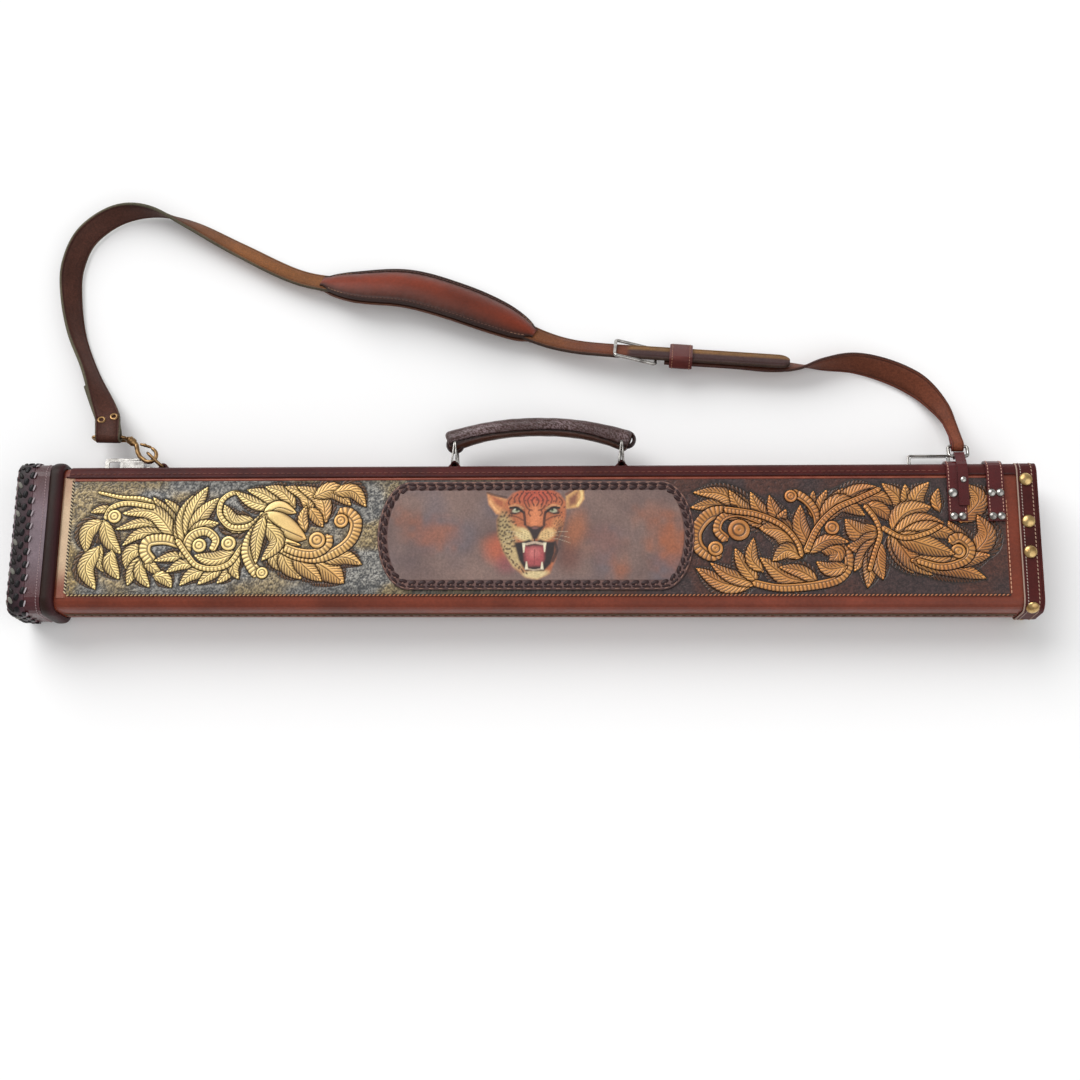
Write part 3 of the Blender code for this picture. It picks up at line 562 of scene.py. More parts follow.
class Carving:
    """A relief painted element by element, each one cut clear of what lies under it."""

    def __init__(self, x_range, gold, ground):
        spread = [np.linspace(low, high, int((high - low) / CELL) + 1) for low, high in (x_range, FIELD_Y)]
        self.x, self.y = np.meshgrid(*spread)
        self.gold = gold
        pebble = pebbles(self.x, self.y)
        self.height = -0.12 + 0.26 * pebble
        self.colour = ground(self.x, self.y, pebble)

    def near(self, line, reach):
        """The part of the grid near a line: slices, distance, share along it and side."""
        low, high = line.min(0) - reach, line.max(0) + reach
        xs, ys = self.x[0], self.y[:, 0]
        i0, i1 = np.searchsorted(xs, (low[0], high[0]))
        j0, j1 = np.searchsorted(ys, (low[1], high[1]))
        part = (slice(j0, j1), slice(i0, i1))
        px, py = self.x[part], self.y[part]
        best = np.full(px.shape, 1e9)
        share, side = np.zeros(px.shape), np.zeros(px.shape)
        steps = np.hypot(*(line[1:] - line[:-1]).T)
        passed = np.concatenate([[0], np.cumsum(steps)])
        for k, (start, end) in enumerate(zip(line, line[1:])):
            away, t = to_segment(px, py, start, end)
            closer = away < best
            best = np.where(closer, away, best)
            share = np.where(closer, (passed[k] + t * steps[k]) / passed[-1], share)
            cross = (end[0] - start[0]) * (py - start[1]) - (end[1] - start[1]) * (px - start[0])
            side = np.where(closer, np.sign(cross), side)
        return part, best, share, side, passed[-1]

    def lay(self, part, inside, outside_mm, height, dark):
        """Puts one element down: its body, a cut round it darkened with dark dye and painted shade, and
        antique paint in its hollows.
        """
        if not inside.any():
            return
        old_h, old_c = self.height[part], self.colour[part]
        # the ground next to the element is sunk and darkened: dark dye and painted shade in the cut, then a
        # wider, fainter painted shade beyond it
        cut = 1 - smooth(0.15, 1.25, outside_mm)
        cut = np.where(inside, 0, np.maximum(cut, 0.42 * (1 - smooth(0.9, 3.2, outside_mm))))
        new_h = old_h * (1 - cut * cut) - 0.35 * cut * cut
        new_c = blend_tones(old_c, tone(30, 20, 14), 0.88 * cut)
        # the gold is brighter the higher it stands: rubbed gilding and a painted highlight on the crowns
        gold = self.gold(self.x[part], self.y[part], smooth(0.35, 1.35, height))
        gold = blend_tones(gold, tone(52, 30, 14), 0.8 * dark)
        self.height[part] = np.where(inside, height, new_h)
        self.colour[part] = np.where(inside[..., None], gold, new_c)

    def antique(self):
        """Dark wax left in the hollows and gilding rubbed bright on the high places, then painted light and
        shade on the slopes.
        """
        for reach, power in ((2, 1.1), (5, 0.55)):
            soft = self.height
            for axis in (0, 1):
                soft = sum(np.roll(soft, k, axis) for k in range(-reach, reach + 1)) / (2 * reach + 1)
            rub_and_painted_light = np.clip(power * (self.height - soft), -0.42, 0.5)
            self.colour = self.colour * (1 + rub_and_painted_light[..., None])
        # slopes facing +Y and -X are painted lighter and those facing away darker: painted light and shade
        # from the upper left
        slope = np.gradient(self.height, axis=0) - 0.7 * np.gradient(self.height, axis=1)
        self.colour = self.colour * (1 - np.clip(0.55 * slope, -0.45, 0.5))[..., None]

    def leaf(self, width, *controls, veins=3.3, teeth=0.12):
        line = curve_points(controls)
        part, away, share, side, length = self.near(line, width * 0.62 + 1.2)
        wide = leaf_half(width, share) * (1 - teeth * (1 - (share * length / 3.3) % 1.0))
        wide = np.maximum(wide, 0.22)
        q = away / wide
        rib = np.exp(-((away / 0.42) ** 2)) * (share < 0.93)
        vein = (veins > 0) * ripple((share * length - 1.1 * away) / (veins or 3)) ** 3
        vein = vein * smooth(0.1, 0.3, q) * (1 - smooth(0.82, 0.98, q))
        swell = 0.35 + 0.95 * crown(q) ** 0.8 + 0.3 * smooth(0.5, 0.0, share)
        height = swell - 0.5 * rib - 0.45 * vein + 0.1 * side
        edge = smooth(0.78, 1.0, q)
        # ribs, veins and edges take dark dye; the half on one side of the middle line is darker, a painted
        # shade
        dark = np.clip(0.9 * rib + 0.75 * vein + 0.75 * edge + 0.16 * (side < 0), 0, 1)
        self.lay(part, q < 1, away - wide, height, dark)

    def under(self, width, *controls):
        """A low, dark leaf that fills the gaps round the next one."""
        line = curve_points(controls)
        part, away, share, _, length = self.near(line, width * 0.62 + 1.2)
        wide = np.maximum(leaf_half(width, share), 0.22)
        q = away / wide
        notch = ripple((share * length - 0.9 * away) / 3.3) ** 2
        height = 0.1 + 0.3 * crown(q) - 0.2 * notch
        self.lay(part, q < 1 - 0.2 * notch, away - wide, height, 0.35 + 0.4 * notch)

    def band(self, start, end, *controls):
        """A scroll or stem of tapering width, with a long groove and ribs across one half."""
        line = curve_points(controls, 34)
        part, away, share, side, length = self.near(line, max(start, end) * 0.6 + 1.2)
        tip = np.clip((np.abs(share - 0.5) - 0.47) / 0.03, 0, 1)
        wide = (start + (end - start) * share) / 2 * np.sqrt(np.clip(1 - tip**2, 0.05, 1))
        q = away / wide
        groove = np.exp(-(((q * side - GROOVE) / 0.13) ** 2))
        ribs = ripple(share * length / 3.2) ** 2 * smooth(GROOVE - 0.05, GROOVE - 0.25, q * side)
        height = 0.45 + 0.9 * crown(q) ** 0.7 - 0.42 * groove - 0.35 * ribs
        dark = np.clip(0.85 * groove + 0.65 * ribs + 0.7 * smooth(0.78, 1.0, q), 0, 1)
        self.lay(part, q < 1, away - wide, height, dark)

    def boss(self, x, y, radius):
        line = np.array([(x - 0.01, y), (x + 0.01, y)])
        part, away, _, _, _ = self.near(line, radius + 1.5)
        q = away / radius
        ring = np.exp(-(((q - 0.56) / 0.1) ** 2)) + 0.8 * np.exp(-((q / 0.13) ** 2))
        height = 0.7 + 0.8 * crown(q * 0.96) - 0.5 * ring
        dark = np.clip(0.85 * ring + 0.5 * smooth(0.86, 1.0, q), 0, 1)
        self.lay(part, q < 1, away - radius, height, dark)


# Leaf work of each field on a 1.7 mm cutting grid: x from the field's left edge, y down from the top
# seam. A leaf or petal is width, base, middle, tip; a band is two widths and places; a boss is place
# and radius.
LEFT_FIELD = (
    ("band", 2.6, 1.2, (45, 17), (36, 13), (25, 12), (13, 9.5)),
    ("leaf", 3.2, (21, 18), (15, 18), (10, 19.5)),
    ("leaf", 6.2, (16, 24), (9, 29), (9, 39.5)),
    ("leaf", 6.0, (17, 24), (20, 33), (26.5, 40)),
    ("leaf", 4.4, (16, 36), (15, 42), (18.5, 49)),
    ("leaf", 6.6, (15, 37), (9.5, 47), (15, 57.5)),
    ("leaf", 5.6, (22, 39), (21.5, 45), (26.5, 52.5)),
    ("leaf", 5.0, (54, 32), (53, 20), (47, 13)),
    ("leaf", 5.4, (55, 33), (50, 23), (41, 12)),
    ("leaf", 4.6, (54, 33), (38, 25), (23, 28)),
    ("leaf", 4.6, (50, 31), (36, 30), (27, 36)),
    ("leaf", 6.4, (55, 34), (42, 20), (26, 20)),
    ("band", 2.2, 2.4, (17.5, 23), (20, 17.5), (28, 15), (42, 17)),
    ("boss", 22, 21.5, 3.3),
    ("leaf", 5.6, (38, 37), (31, 40), (30, 48)),
    ("leaf", 5.0, (37, 42), (33, 49), (31, 55.5)),
    ("leaf", 4.8, (37, 43), (37, 50), (42, 56.5)),
    ("leaf", 4.2, (38, 41), (43, 47), (48, 50)),
    ("leaf", 4.8, (44, 51), (49, 52), (53, 56.5)),
    ("band", 4.6, 5.4, (56, 35), (48, 33), (40, 34), (38.5, 39), (42, 44)),
    ("leaf", 4.6, (57, 37), (55, 27), (56, 16.5)),
    ("leaf", 5.8, (58, 35), (57, 22), (61, 11)),
    ("leaf", 6.8, (60, 33), (62, 18), (68, 7)),
    ("leaf", 6.2, (61, 33), (66, 21), (74, 12.5)),
    ("leaf", 5.4, (60, 35), (66, 27), (74.5, 25)),
    ("leaf", 4.2, (64, 45), (54, 41.5), (43.5, 43.5)),
    ("leaf", 4.4, (66, 46), (58, 45), (50, 49)),
    ("leaf", 5.2, (73, 47), (63, 50), (57, 55.5)),
    ("leaf", 4.8, (79, 46), (72, 50), (66, 55)),
    ("leaf", 4.2, (83, 44), (80, 50), (75.5, 54.5)),
    ("leaf", 6.6, (84, 40), (74, 43), (63.5, 41)),
    ("band", 5.0, 3.0, (58, 42), (61, 32), (68, 29), (73.5, 33), (72, 38.5)),
    ("boss", 65.5, 36, 3.4),
    ("boss", 80, 35, 3.6),
    ("leaf", 4.6, (85, 40), (83, 47), (86, 52.5)),
    ("band", 2.6, 2.2, (54, 33), (60, 41), (65, 46), (73, 47.5), (81, 45), (86, 38), (92, 29), (98, 21)),
    ("leaf", 7.2, (92, 24), (82, 25), (77, 16)),
    ("band", 3.0, 2.0, (97, 21), (90, 26.5), (81, 27), (75, 21), (75.5, 14), (81, 10), (87, 11)),
    ("leaf", 5.0, (103, 17), (92, 15), (82, 9.5)),
    ("leaf", 5.0, (106, 17), (97, 11), (88, 8.5)),
    ("leaf", 5.2, (112, 17), (106, 10), (97, 7)),
    ("leaf", 5.4, (120, 20), (117, 11), (107, 7)),
    ("leaf", 6.2, (128, 24), (125, 13), (113, 7)),
    ("leaf", 6.4, (122, 12), (131, 9), (140, 16.5)),
    ("leaf", 5.6, (132, 10), (141, 9.5), (147.5, 17)),
    ("petal", 7.5, (97, 22), (104, 17.5), (113, 20)),
    ("leaf", 4.0, (118, 29), (116.5, 23), (118, 16.5)),
    ("leaf", 4.6, (120, 18), (123, 22), (126.5, 27)),
    ("leaf", 10.0, (120, 42), (130, 48), (138, 54.5)),
    ("leaf", 5.8, (127, 43), (138, 42), (146.5, 45.5)),
    ("leaf", 5.6, (104, 35), (103, 42), (108, 49)),
    ("leaf", 6.2, (107, 39), (110, 46), (117, 52.5)),
    ("leaf", 6.6, (113, 41), (119, 47), (127, 53.5)),
    ("petal", 14.0, (96, 21), (105, 27), (118.5, 33)),
    ("petal", 5.0, (98, 23), (105, 33), (116, 36)),
    ("band", 3.0, 6.0, (103, 36), (113, 41), (124, 42.5), (134, 39), (141, 33))
    + ((143, 25), (139, 20.5), (134, 21)),
    ("boss", 135.5, 24, 3.4),
    ("band", 3.6, 4.6, (108, 37), (115, 39.5), (123, 40), (129, 36), (129, 31)),
    ("boss", 124, 33.5, 4.0),
    ("leaf", 6.0, (97, 25), (104, 34), (97, 43.5)),
    ("band", 3.0, 5.4, (98, 21), (91, 31), (89, 39), (92, 46), (96, 50.5)),
    ("boss", 97.5, 49.5, 2.8),
    ("leaf", 5.0, (97, 22), (94, 33), (94, 45)),
)
RIGHT_FIELD = (
    ("leaf", 6.4, (34, 23), (17, 17), (3.5, 18)),
    ("leaf", 6.6, (38, 24), (20, 12), (5, 10.5)),
    ("leaf", 7.0, (44, 27), (30, 20), (22.5, 9.5)),
    ("leaf", 6.6, (50, 29), (38, 20), (33, 10.5)),
    ("leaf", 5.8, (53, 31), (45, 21), (42, 12)),
    ("leaf", 5.6, (54, 33), (47.5, 26), (50, 19)),
    ("band", 6.4, 4.6, (27, 21), (14, 21), (6.5, 29), (7, 37), (13, 41.5), (18, 40)),
    ("boss", 15.5, 38, 3.6),
    ("band", 2.6, 4.2, (38, 25), (27, 21), (19, 23), (16.5, 29), (21, 34)),
    ("boss", 27, 29, 5.2),
    ("leaf", 6.8, (34, 54), (20, 55), (6, 47.5)),
    ("leaf", 5.4, (36, 55), (22, 51), (13, 45)),
    ("leaf", 5.6, (35, 54), (29, 46), (25, 38)),
    ("leaf", 4.8, (38, 49), (33, 43), (34, 33)),
    ("leaf", 7.4, (62, 54), (50, 52), (37, 42.5)),
    ("leaf", 5.0, (64, 54), (56, 49), (46, 47)),
    ("band", 3.0, 4.6, (33, 54.5), (46, 57), (62, 56), (74, 53), (79.5, 46), (78, 39), (70, 36.5), (62, 38)),
    ("leaf", 6.2, (66, 37), (74, 40), (70, 46)),
    ("leaf", 5.6, (78, 47), (70, 48), (64, 44.5)),
    ("leaf", 10.0, (57, 41), (49, 30), (37, 28)),
    ("leaf", 6.0, (57, 42), (50, 39), (43, 44)),
    ("leaf", 6.2, (62, 38), (57, 28), (57, 17)),
    ("leaf", 4.0, (64, 24), (63, 17), (63.5, 10)),
    ("leaf", 4.6, (66, 26), (67, 17), (70, 9.5)),
    ("band", 2.6, 4.2, (58, 40.5), (64, 32), (65, 23), (61, 15.5), (55, 11.5), (51, 12)),
    ("boss", 52.5, 12.5, 3.0),
    ("band", 3.0, 2.0, (20, 19), (36, 21.5), (48, 27), (55, 35), (57, 42)),
    ("leaf", 5.4, (70, 22), (75, 14), (82, 8)),
    ("leaf", 6.6, (74, 18), (84, 11), (94, 8)),
    ("leaf", 5.6, (82, 15), (94, 13), (106, 17)),
    ("leaf", 5.4, (88, 18), (95, 19), (102, 25)),
    ("leaf", 7.2, (67, 25), (76, 16), (88, 22)),
    ("leaf", 4.8, (60, 40), (70, 34), (80, 35)),
    ("boss", 72, 28, 3.4),
    ("band", 3.0, 2.2, (59, 40), (65, 28), (74, 19), (85, 14), (96, 9)),
    ("leaf", 8.4, (94, 29), (86, 31), (78.5, 24)),
    ("leaf", 7.4, (94, 31), (87, 37), (79, 37)),
    ("leaf", 5.6, (93, 34), (87, 41), (82, 49)),
    ("leaf", 6.0, (93, 36), (90, 46), (88, 57)),
    ("leaf", 6.6, (94, 35), (93, 44), (95.5, 53)),
    ("band", 2.2, 2.0, (88, 17), (93, 24), (95, 31), (92, 40), (89, 49)),
    ("leaf", 6.4, (108, 25), (105, 14), (97, 6.5)),
    ("leaf", 5.8, (112, 24), (109, 15), (108, 7)),
    ("leaf", 6.6, (114, 26), (113, 14), (119.5, 6)),
    ("leaf", 8.6, (101, 29), (108, 21), (120, 18)),
    ("leaf", 3.8, (124, 20), (122.5, 15), (124, 9)),
    ("leaf", 8.0, (134, 25), (143, 15), (138, 7)),
    ("leaf", 7.6, (138, 42), (146, 32), (142, 22)),
    ("leaf", 6.4, (138, 40), (132, 32), (128, 25)),
    ("leaf", 6.6, (102, 31), (114, 25), (126, 26)),
    ("leaf", 6.8, (105, 32), (119, 29), (133, 33)),
    ("leaf", 7.0, (100, 31), (105, 42), (110, 50)),
    ("leaf", 7.6, (101, 31), (109, 43), (119, 51)),
    ("leaf", 7.4, (110, 44), (128, 47), (144.5, 52.5)),
    ("leaf", 5.8, (128, 45), (138, 43), (147, 41.5)),
    ("band", 2.6, 4.6, (112, 44), (124, 47), (135, 44), (138, 38), (133, 33), (128, 35)),
    ("boss", 132, 39.5, 3.4),
    ("leaf", 7.8, (103, 32), (118, 37), (130, 41)),
    ("band", 2.4, 1.8, (96, 28), (106, 33), (117, 31), (125, 27)),
)
GRID = 1.73


def carve(name, x_range, start_x, field, gold, ground, nodes=()):
    work = Carving(x_range, gold, ground)

    def place(across, down):
        return start_x + GRID * 0.987 * across, 55.4 - GRID * 1.02 * down

    for kind, *values in field:
        if kind == "leaf":
            work.under(values[0] * GRID * 2.1, *[place(*v) for v in values[1:]])
    for kind, *values in field:
        spots = [place(*v) for v in values if isinstance(v, tuple)]
        if kind == "leaf":
            work.leaf(values[0] * GRID * 1.4, *spots)
        elif kind == "petal":
            work.leaf(values[0] * GRID, *spots, veins=0, teeth=0.0)
        elif kind == "band":
            work.band(values[0] * GRID * 1.12, values[1] * GRID * 1.12, *spots)
        else:
            work.boss(*place(*values[:2]), values[2] * GRID)
    work.antique()
    z = GROUND_Z + 1.1 * work.height
    grid_piece(name, work.x, work.y, z, work.colour, PANEL_FOOT, "carved", nodes)


def left_gold(x, y, high):
    warm = smooth(-250, -140, x) * 0.75 + 0.3 * (scatter(x, y, 18, 5) - 0.5)
    low = blend_tones(tone(96, 68, 32), tone(90, 50, 20), warm)
    top = blend_tones(tone(230, 202, 134), tone(206, 148, 78), warm)
    return blend_tones(low, top, high)


def left_ground(x, y, pebble):
    spark = smooth(0.25, 0.85, pebble)
    silver = blend_tones(tone(66, 66, 66), tone(158, 154, 146), spark)
    olive = blend_tones(tone(82, 66, 38), tone(178, 152, 98), spark)
    corner = smooth(-360, -381, x) * smooth(18, -24, y)
    patch = smooth(0.4, 0.75, scatter(x, y, 26, 9)) * 0.8 + 0.5 * corner
    dusk = smooth(12, 0, np.minimum(FIELD_Y[1] - y, y - FIELD_Y[0]))[..., None] * 0.45
    return blend_tones(silver, olive, patch) * (1 - dusk)


def right_gold(x, y, high):
    low = blend_tones(tone(84, 48, 20), tone(74, 38, 16), scatter(x, y, 16, 6))
    top = blend_tones(tone(190, 134, 68), tone(172, 108, 52), scatter(x, y, 16, 6))
    return blend_tones(low, top, high)


def right_ground(x, y, pebble):
    dark = blend_tones(tone(26, 18, 20), tone(84, 62, 60), pebble * 0.8)
    red = blend_tones(tone(42, 20, 16), tone(100, 56, 40), pebble)
    return blend_tones(dark, red, smooth(0.45, 0.8, scatter(x, y, 22, 12)) * 0.7)


# --- picture plaque ---------------------------------------------------------------------------

PLAQUE_X = (-119, 146)
PLAQUE_HALF = 46.6
BULGE = 27
LACE_PITCH = 8.1
HEAD_PLACE = (14.6, 4.3)
HEAD_UNIT = 40.5
# warm clouds behind the head: place, reach and strength
GLOWS = (
    (128, -6, 24, 26, 0.85),
    (-70, 0, 26, 16, 0.6),
    (84, -30, 10, 16, 0.55),
    (-96, 14, 14, 14, 0.35),
    (112, 18, 22, 12, 0.4),
    (-20, -6, 20, 10, 0.35),
    (70, -6, 24, 18, 0.3),
)


def plaque_edge(y, inset=0.0):
    """The plaque's left and right edge at y, drawn in by inset."""
    half = PLAQUE_HALF - inset
    reach = (BULGE - inset * 0.6) * np.sqrt(np.clip(1 - (np.asarray(y) / half) ** 2, 0, 1))
    return PLAQUE_X[0] + BULGE + inset * 0.4 - reach, PLAQUE_X[1] - BULGE - inset * 0.4 + reach


def plaque_path(inset, z):
    """A closed path round the plaque."""
    count = 36
    half = PLAQUE_HALF - inset
    path = []
    for sign in (1, -1):
        for k in range(count + 1):
            y = half * math.sin(math.pi * (k / count - 0.5)) * sign
            path.append(Vector((float(plaque_edge(y, inset)[1 if sign > 0 else 0]), y, z)) * MM)
    return path


class Picture:
    """Paints soft-edged shapes over the plaque, in the head's own unit."""

    def __init__(self, x, y, colour):
        self.u = (x - HEAD_PLACE[0]) / HEAD_UNIT
        self.v = (y - HEAD_PLACE[1]) / HEAD_UNIT
        self.colour = colour

    def cover(self, mask, shade):
        self.colour[:] = blend_tones(self.colour, tone(*shade), mask)

    def blob(self, u, v, ru, rv, shade, soft, turn=0.0, power=1.0, cut=None):
        c, s = math.cos(math.radians(turn)), math.sin(math.radians(turn))
        du, dv = self.u - u, self.v - v
        q = np.sqrt(((c * du + s * dv) / ru) ** 2 + ((c * dv - s * du) / rv) ** 2)
        mask = (1 - smooth(1 - soft, 1 + soft * 0.4, q)) * power
        self.cover(mask if cut is None else mask * cut, shade)

    def shape(self, corners, shade, soft, power=1.0):
        """A filled polygon with softened edges."""
        inside = np.zeros(self.u.shape, bool)
        away = np.full(self.u.shape, 9.0)
        for (x0, y0), (x1, y1) in zip(corners, corners[1:] + corners[:1]):
            over = (y0 > self.v) != (y1 > self.v)
            at = x0 + (self.v - y0) * (x1 - x0) / ((y1 - y0) or 1e-9)
            inside ^= over & (self.u < at)
            away = np.minimum(away, to_segment(self.u, self.v, (x0, y0), (x1, y1))[0])
        mask = smooth(-soft, soft, np.where(inside, away, -away))
        self.cover(mask * power, shade)
        return mask

    def stroke(self, points, wide, shade, power=1.0):
        line = curve_points(points, 10)
        away = np.full(self.u.shape, 9.0)
        for start, end in zip(line, line[1:]):
            away = np.minimum(away, to_segment(self.u, self.v, start, end)[0])
        self.cover((1 - smooth(wide * 0.5, wide, away)) * power, shade)


def paint_leopard(p):
    """A roaring leopard's head in plain shapes."""
    fur = scatter(p.u + 0.4 * p.v, p.v, 0.022, 21) - 0.5
    paint_halo(p)
    paint_ears(p)
    inside = paint_face(p)
    paint_brow_marks(p)
    paint_spots(p, inside)
    paint_eyes(p)
    paint_nose(p)
    paint_mouth(p)
    p.colour[:] = p.colour * (1 + 0.3 * fur[..., None])


def paint_halo(p):
    p.blob(-0.8, -0.42, 0.34, 0.34, (178, 88, 58), 0.8, 30, 0.8)
    p.blob(-0.62, -0.72, 0.26, 0.24, (132, 58, 66), 0.9, power=0.6)
    p.blob(0.6, -0.25, 0.3, 0.6, (74, 56, 54), 0.8, power=0.8)
    p.blob(0.8, 0.0, 0.26, 0.5, (160, 96, 62), 0.8, -14, 0.75)
    p.blob(0.68, -0.6, 0.3, 0.34, (112, 66, 54), 0.9, power=0.6)


def paint_ears(p):
    p.shape([(-1.04, 0.8), (-0.62, 0.66), (-0.56, 0.3), (-0.84, 0.34), (-1.0, 0.55)], (206, 142, 92), 0.03)
    p.shape([(-0.98, 0.76), (-0.68, 0.62), (-0.7, 0.46), (-0.86, 0.56)], (150, 74, 50), 0.05, 0.85)
    p.stroke([(-1.03, 0.8), (-0.85, 0.74), (-0.64, 0.7)], 0.035, (70, 44, 38), 0.7)
    p.stroke([(-0.98, 0.62), (-0.84, 0.42), (-0.7, 0.36)], 0.03, (226, 170, 116), 0.8)
    p.shape([(0.96, 0.99), (0.6, 0.72), (0.6, 0.45), (0.86, 0.48), (0.98, 0.66)], (204, 154, 98), 0.03)
    p.shape([(0.86, 0.84), (0.66, 0.68), (0.66, 0.5), (0.82, 0.56)], (118, 66, 54), 0.06, 0.9)
    p.stroke([(0.6, 0.76), (0.76, 0.86), (0.95, 0.99)], 0.03, (110, 72, 60))
    p.stroke([(0.9, 0.9), (0.93, 0.7), (0.84, 0.52)], 0.035, (228, 196, 132), 0.8)


def paint_face(p):
    """The skull with its lit and shaded parts; returns where it lies."""
    face = [(-0.66, 0.6), (-0.5, 0.78), (-0.28, 0.88), (0.0, 0.92), (0.26, 0.89), (0.46, 0.78), (0.6, 0.6)]
    face += [(0.6, 0.3), (0.52, 0.0), (0.42, -0.26), (0.4, -0.6), (0.28, -0.92), (0.02, -1.05), (-0.22, -1.0)]
    face += [(-0.48, -0.78), (-0.68, -0.45), (-0.8, -0.12), (-0.82, 0.2), (-0.74, 0.42)]
    inside = p.shape(face, (172, 98, 62), 0.04)
    p.blob(-0.02, 0.74, 0.52, 0.24, (176, 78, 56), 0.7, cut=inside)
    p.blob(-0.03, 0.26, 0.17, 0.36, (204, 124, 82), 0.7, cut=inside)
    p.blob(-0.66, -0.02, 0.24, 0.5, (168, 146, 102), 0.6, 14, cut=inside)
    p.blob(-0.5, -0.56, 0.26, 0.4, (184, 160, 114), 0.6, 30, cut=inside)
    p.blob(0.44, 0.06, 0.16, 0.24, (190, 126, 80), 0.6, cut=inside)
    p.blob(0.52, -0.3, 0.18, 0.5, (66, 46, 42), 0.6, cut=inside)
    p.blob(-0.04, -0.96, 0.36, 0.13, (206, 184, 136), 0.5, 6, cut=inside)
    p.blob(-0.84, 0.1, 0.1, 0.5, (96, 70, 52), 0.8, power=0.7, cut=inside)
    return inside


def paint_brow_marks(p):
    """Scrolls on the forehead, then rows of marks over the crown."""
    mark = (64, 26, 24)
    for side in (-1, 1):
        for row in (
            ((0.03, 0.52), (0.07, 0.62), (0.02, 0.7)),
            ((0.12, 0.5), (0.16, 0.64), (0.08, 0.76)),
            ((0.22, 0.56), (0.24, 0.68), (0.15, 0.8)),
            ((0.32, 0.58), (0.34, 0.68), (0.25, 0.82)),
            ((0.42, 0.6), (0.44, 0.68), (0.37, 0.77)),
            ((0.52, 0.5), (0.56, 0.6), (0.49, 0.7)),
            ((0.07, 0.42), (0.15, 0.45), (0.2, 0.52)),
            ((0.1, 0.3), (0.14, 0.36), (0.12, 0.42)),
        ):
            p.stroke([(side * u - 0.03, v) for u, v in row], 0.022, mark, 0.7)
    crown_rows = ((0.86, 8, 0.26), (0.8, 10, 0.42), (0.64, 10, 0.56), (0.55, 8, 0.6))
    for row, (height, count, wide) in enumerate(crown_rows):
        for k in range(count):
            u = -0.03 - wide + 2 * wide * (k + 0.5 * (row % 2)) / (count - 0.5)
            p.blob(u, height - 0.2 * u * u, 0.026, 0.016, mark, 0.6, 50 if u > 0 else -50, 0.8)


def paint_spots(p, inside):
    """Spots on the cheeks and along the jaw, then the pale muzzle over them."""
    for k in range(64):
        angle, reach = k * 2.4, math.sqrt(k / 64)
        u, v = -0.64 + 0.22 * reach * math.cos(angle), -0.1 + 0.52 * reach * math.sin(angle)
        size = 0.017 + 0.012 * math.sin(5 * k) ** 2
        p.blob(u, v, size * 1.6, size, (58, 42, 28), 0.6, 50 * math.sin(k) + 30, 0.85, inside)
    for k in range(18):
        t = k / 17
        u, v = -0.72 + 0.5 * t, -0.36 - 0.56 * t ** 0.8
        p.blob(u + 0.03 * math.sin(9 * k), v, 0.034, 0.02, (70, 46, 30), 0.6, -48, 0.85, inside)
    for k in range(26):
        angle, reach = k * 2.4, math.sqrt(k / 26)
        u, v = 0.46 + 0.11 * reach * math.cos(angle), 0.12 + 0.3 * reach * math.sin(angle)
        p.blob(u, v, 0.024, 0.013, (66, 32, 26), 0.6, 60, 0.85, inside)
    p.blob(-0.26, -0.1, 0.24, 0.15, (210, 188, 136), 0.45, -28)
    p.blob(0.2, -0.1, 0.22, 0.14, (208, 172, 118), 0.45, 28)
    p.blob(-0.42, 0.02, 0.18, 0.06, (188, 158, 104), 0.6, -40, 0.7)


def paint_eyes(p):
    for side, u in ((-1, -0.42), (1, 0.33)):
        inner = u - side * 0.15
        p.blob(u, 0.42, 0.17, 0.095, (52, 30, 26), 0.5, -16 * side, 0.9)
        brow = [(u + 0.15 * side, 0.5), (u, 0.535), (inner + 0.02 * side, 0.46)]
        p.stroke(brow, 0.03, (206, 150, 104), 0.55)
        p.blob(u, 0.42, 0.1, 0.05, (172, 168, 142), 0.3, -14 * side)
        p.blob(u - 0.01 * side, 0.428, 0.044, 0.046, (112, 120, 92), 0.4)
        p.blob(u - 0.01 * side, 0.43, 0.02, 0.024, (14, 12, 10), 0.3)
        p.blob(u - 0.03, 0.445, 0.011, 0.01, (240, 240, 230), 0.3)
        p.stroke([(u + 0.13 * side, 0.47), (u, 0.475), (inner, 0.37)], 0.032, (24, 14, 12))
        tear = [(inner, 0.38), (inner - 0.02 * side, 0.26), (inner - 0.03 * side, 0.12)]
        p.stroke(tear, 0.036, (60, 28, 22), 0.9)
        p.stroke([(u + 0.12 * side, 0.36), (u + 0.02 * side, 0.35)], 0.02, (34, 20, 18), 0.9)
        p.stroke([(u + 0.14 * side, 0.3), (u, 0.28), (inner, 0.2)], 0.022, (90, 46, 32), 0.7)


def paint_nose(p):
    """The nose, the dots beside it and the whiskers."""
    nose = [(-0.26, 0.12), (-0.12, 0.07), (-0.03, 0.09), (0.07, 0.07), (0.2, 0.12)]
    nose += [(0.08, -0.05), (0.01, -0.2), (-0.08, -0.2), (-0.14, -0.05)]
    p.shape(nose, (46, 32, 32), 0.03)
    p.blob(-0.03, 0.04, 0.08, 0.03, (122, 80, 74), 0.6)
    p.stroke([(-0.04, -0.18), (-0.04, -0.26)], 0.02, (40, 26, 26))
    for side in (-1, 1):
        for row in range(4):
            for k in range(4):
                u = -0.03 + side * (0.15 + 0.062 * k)
                p.blob(u, -0.01 - 0.05 * row - 0.02 * k, 0.015, 0.009, (78, 46, 34), 0.5, 20 * side, 0.8)
        for k in range(3):
            whisker = ((0.28, 0.08, 0.05), (0.46, 0.04, 0.08), (0.64 + 0.03 * k, 0.04, 0.12))
            line = [(side * u, -v - drop * k) for u, v, drop in whisker]
            p.stroke(line, 0.008, (206, 190, 160), 0.4)


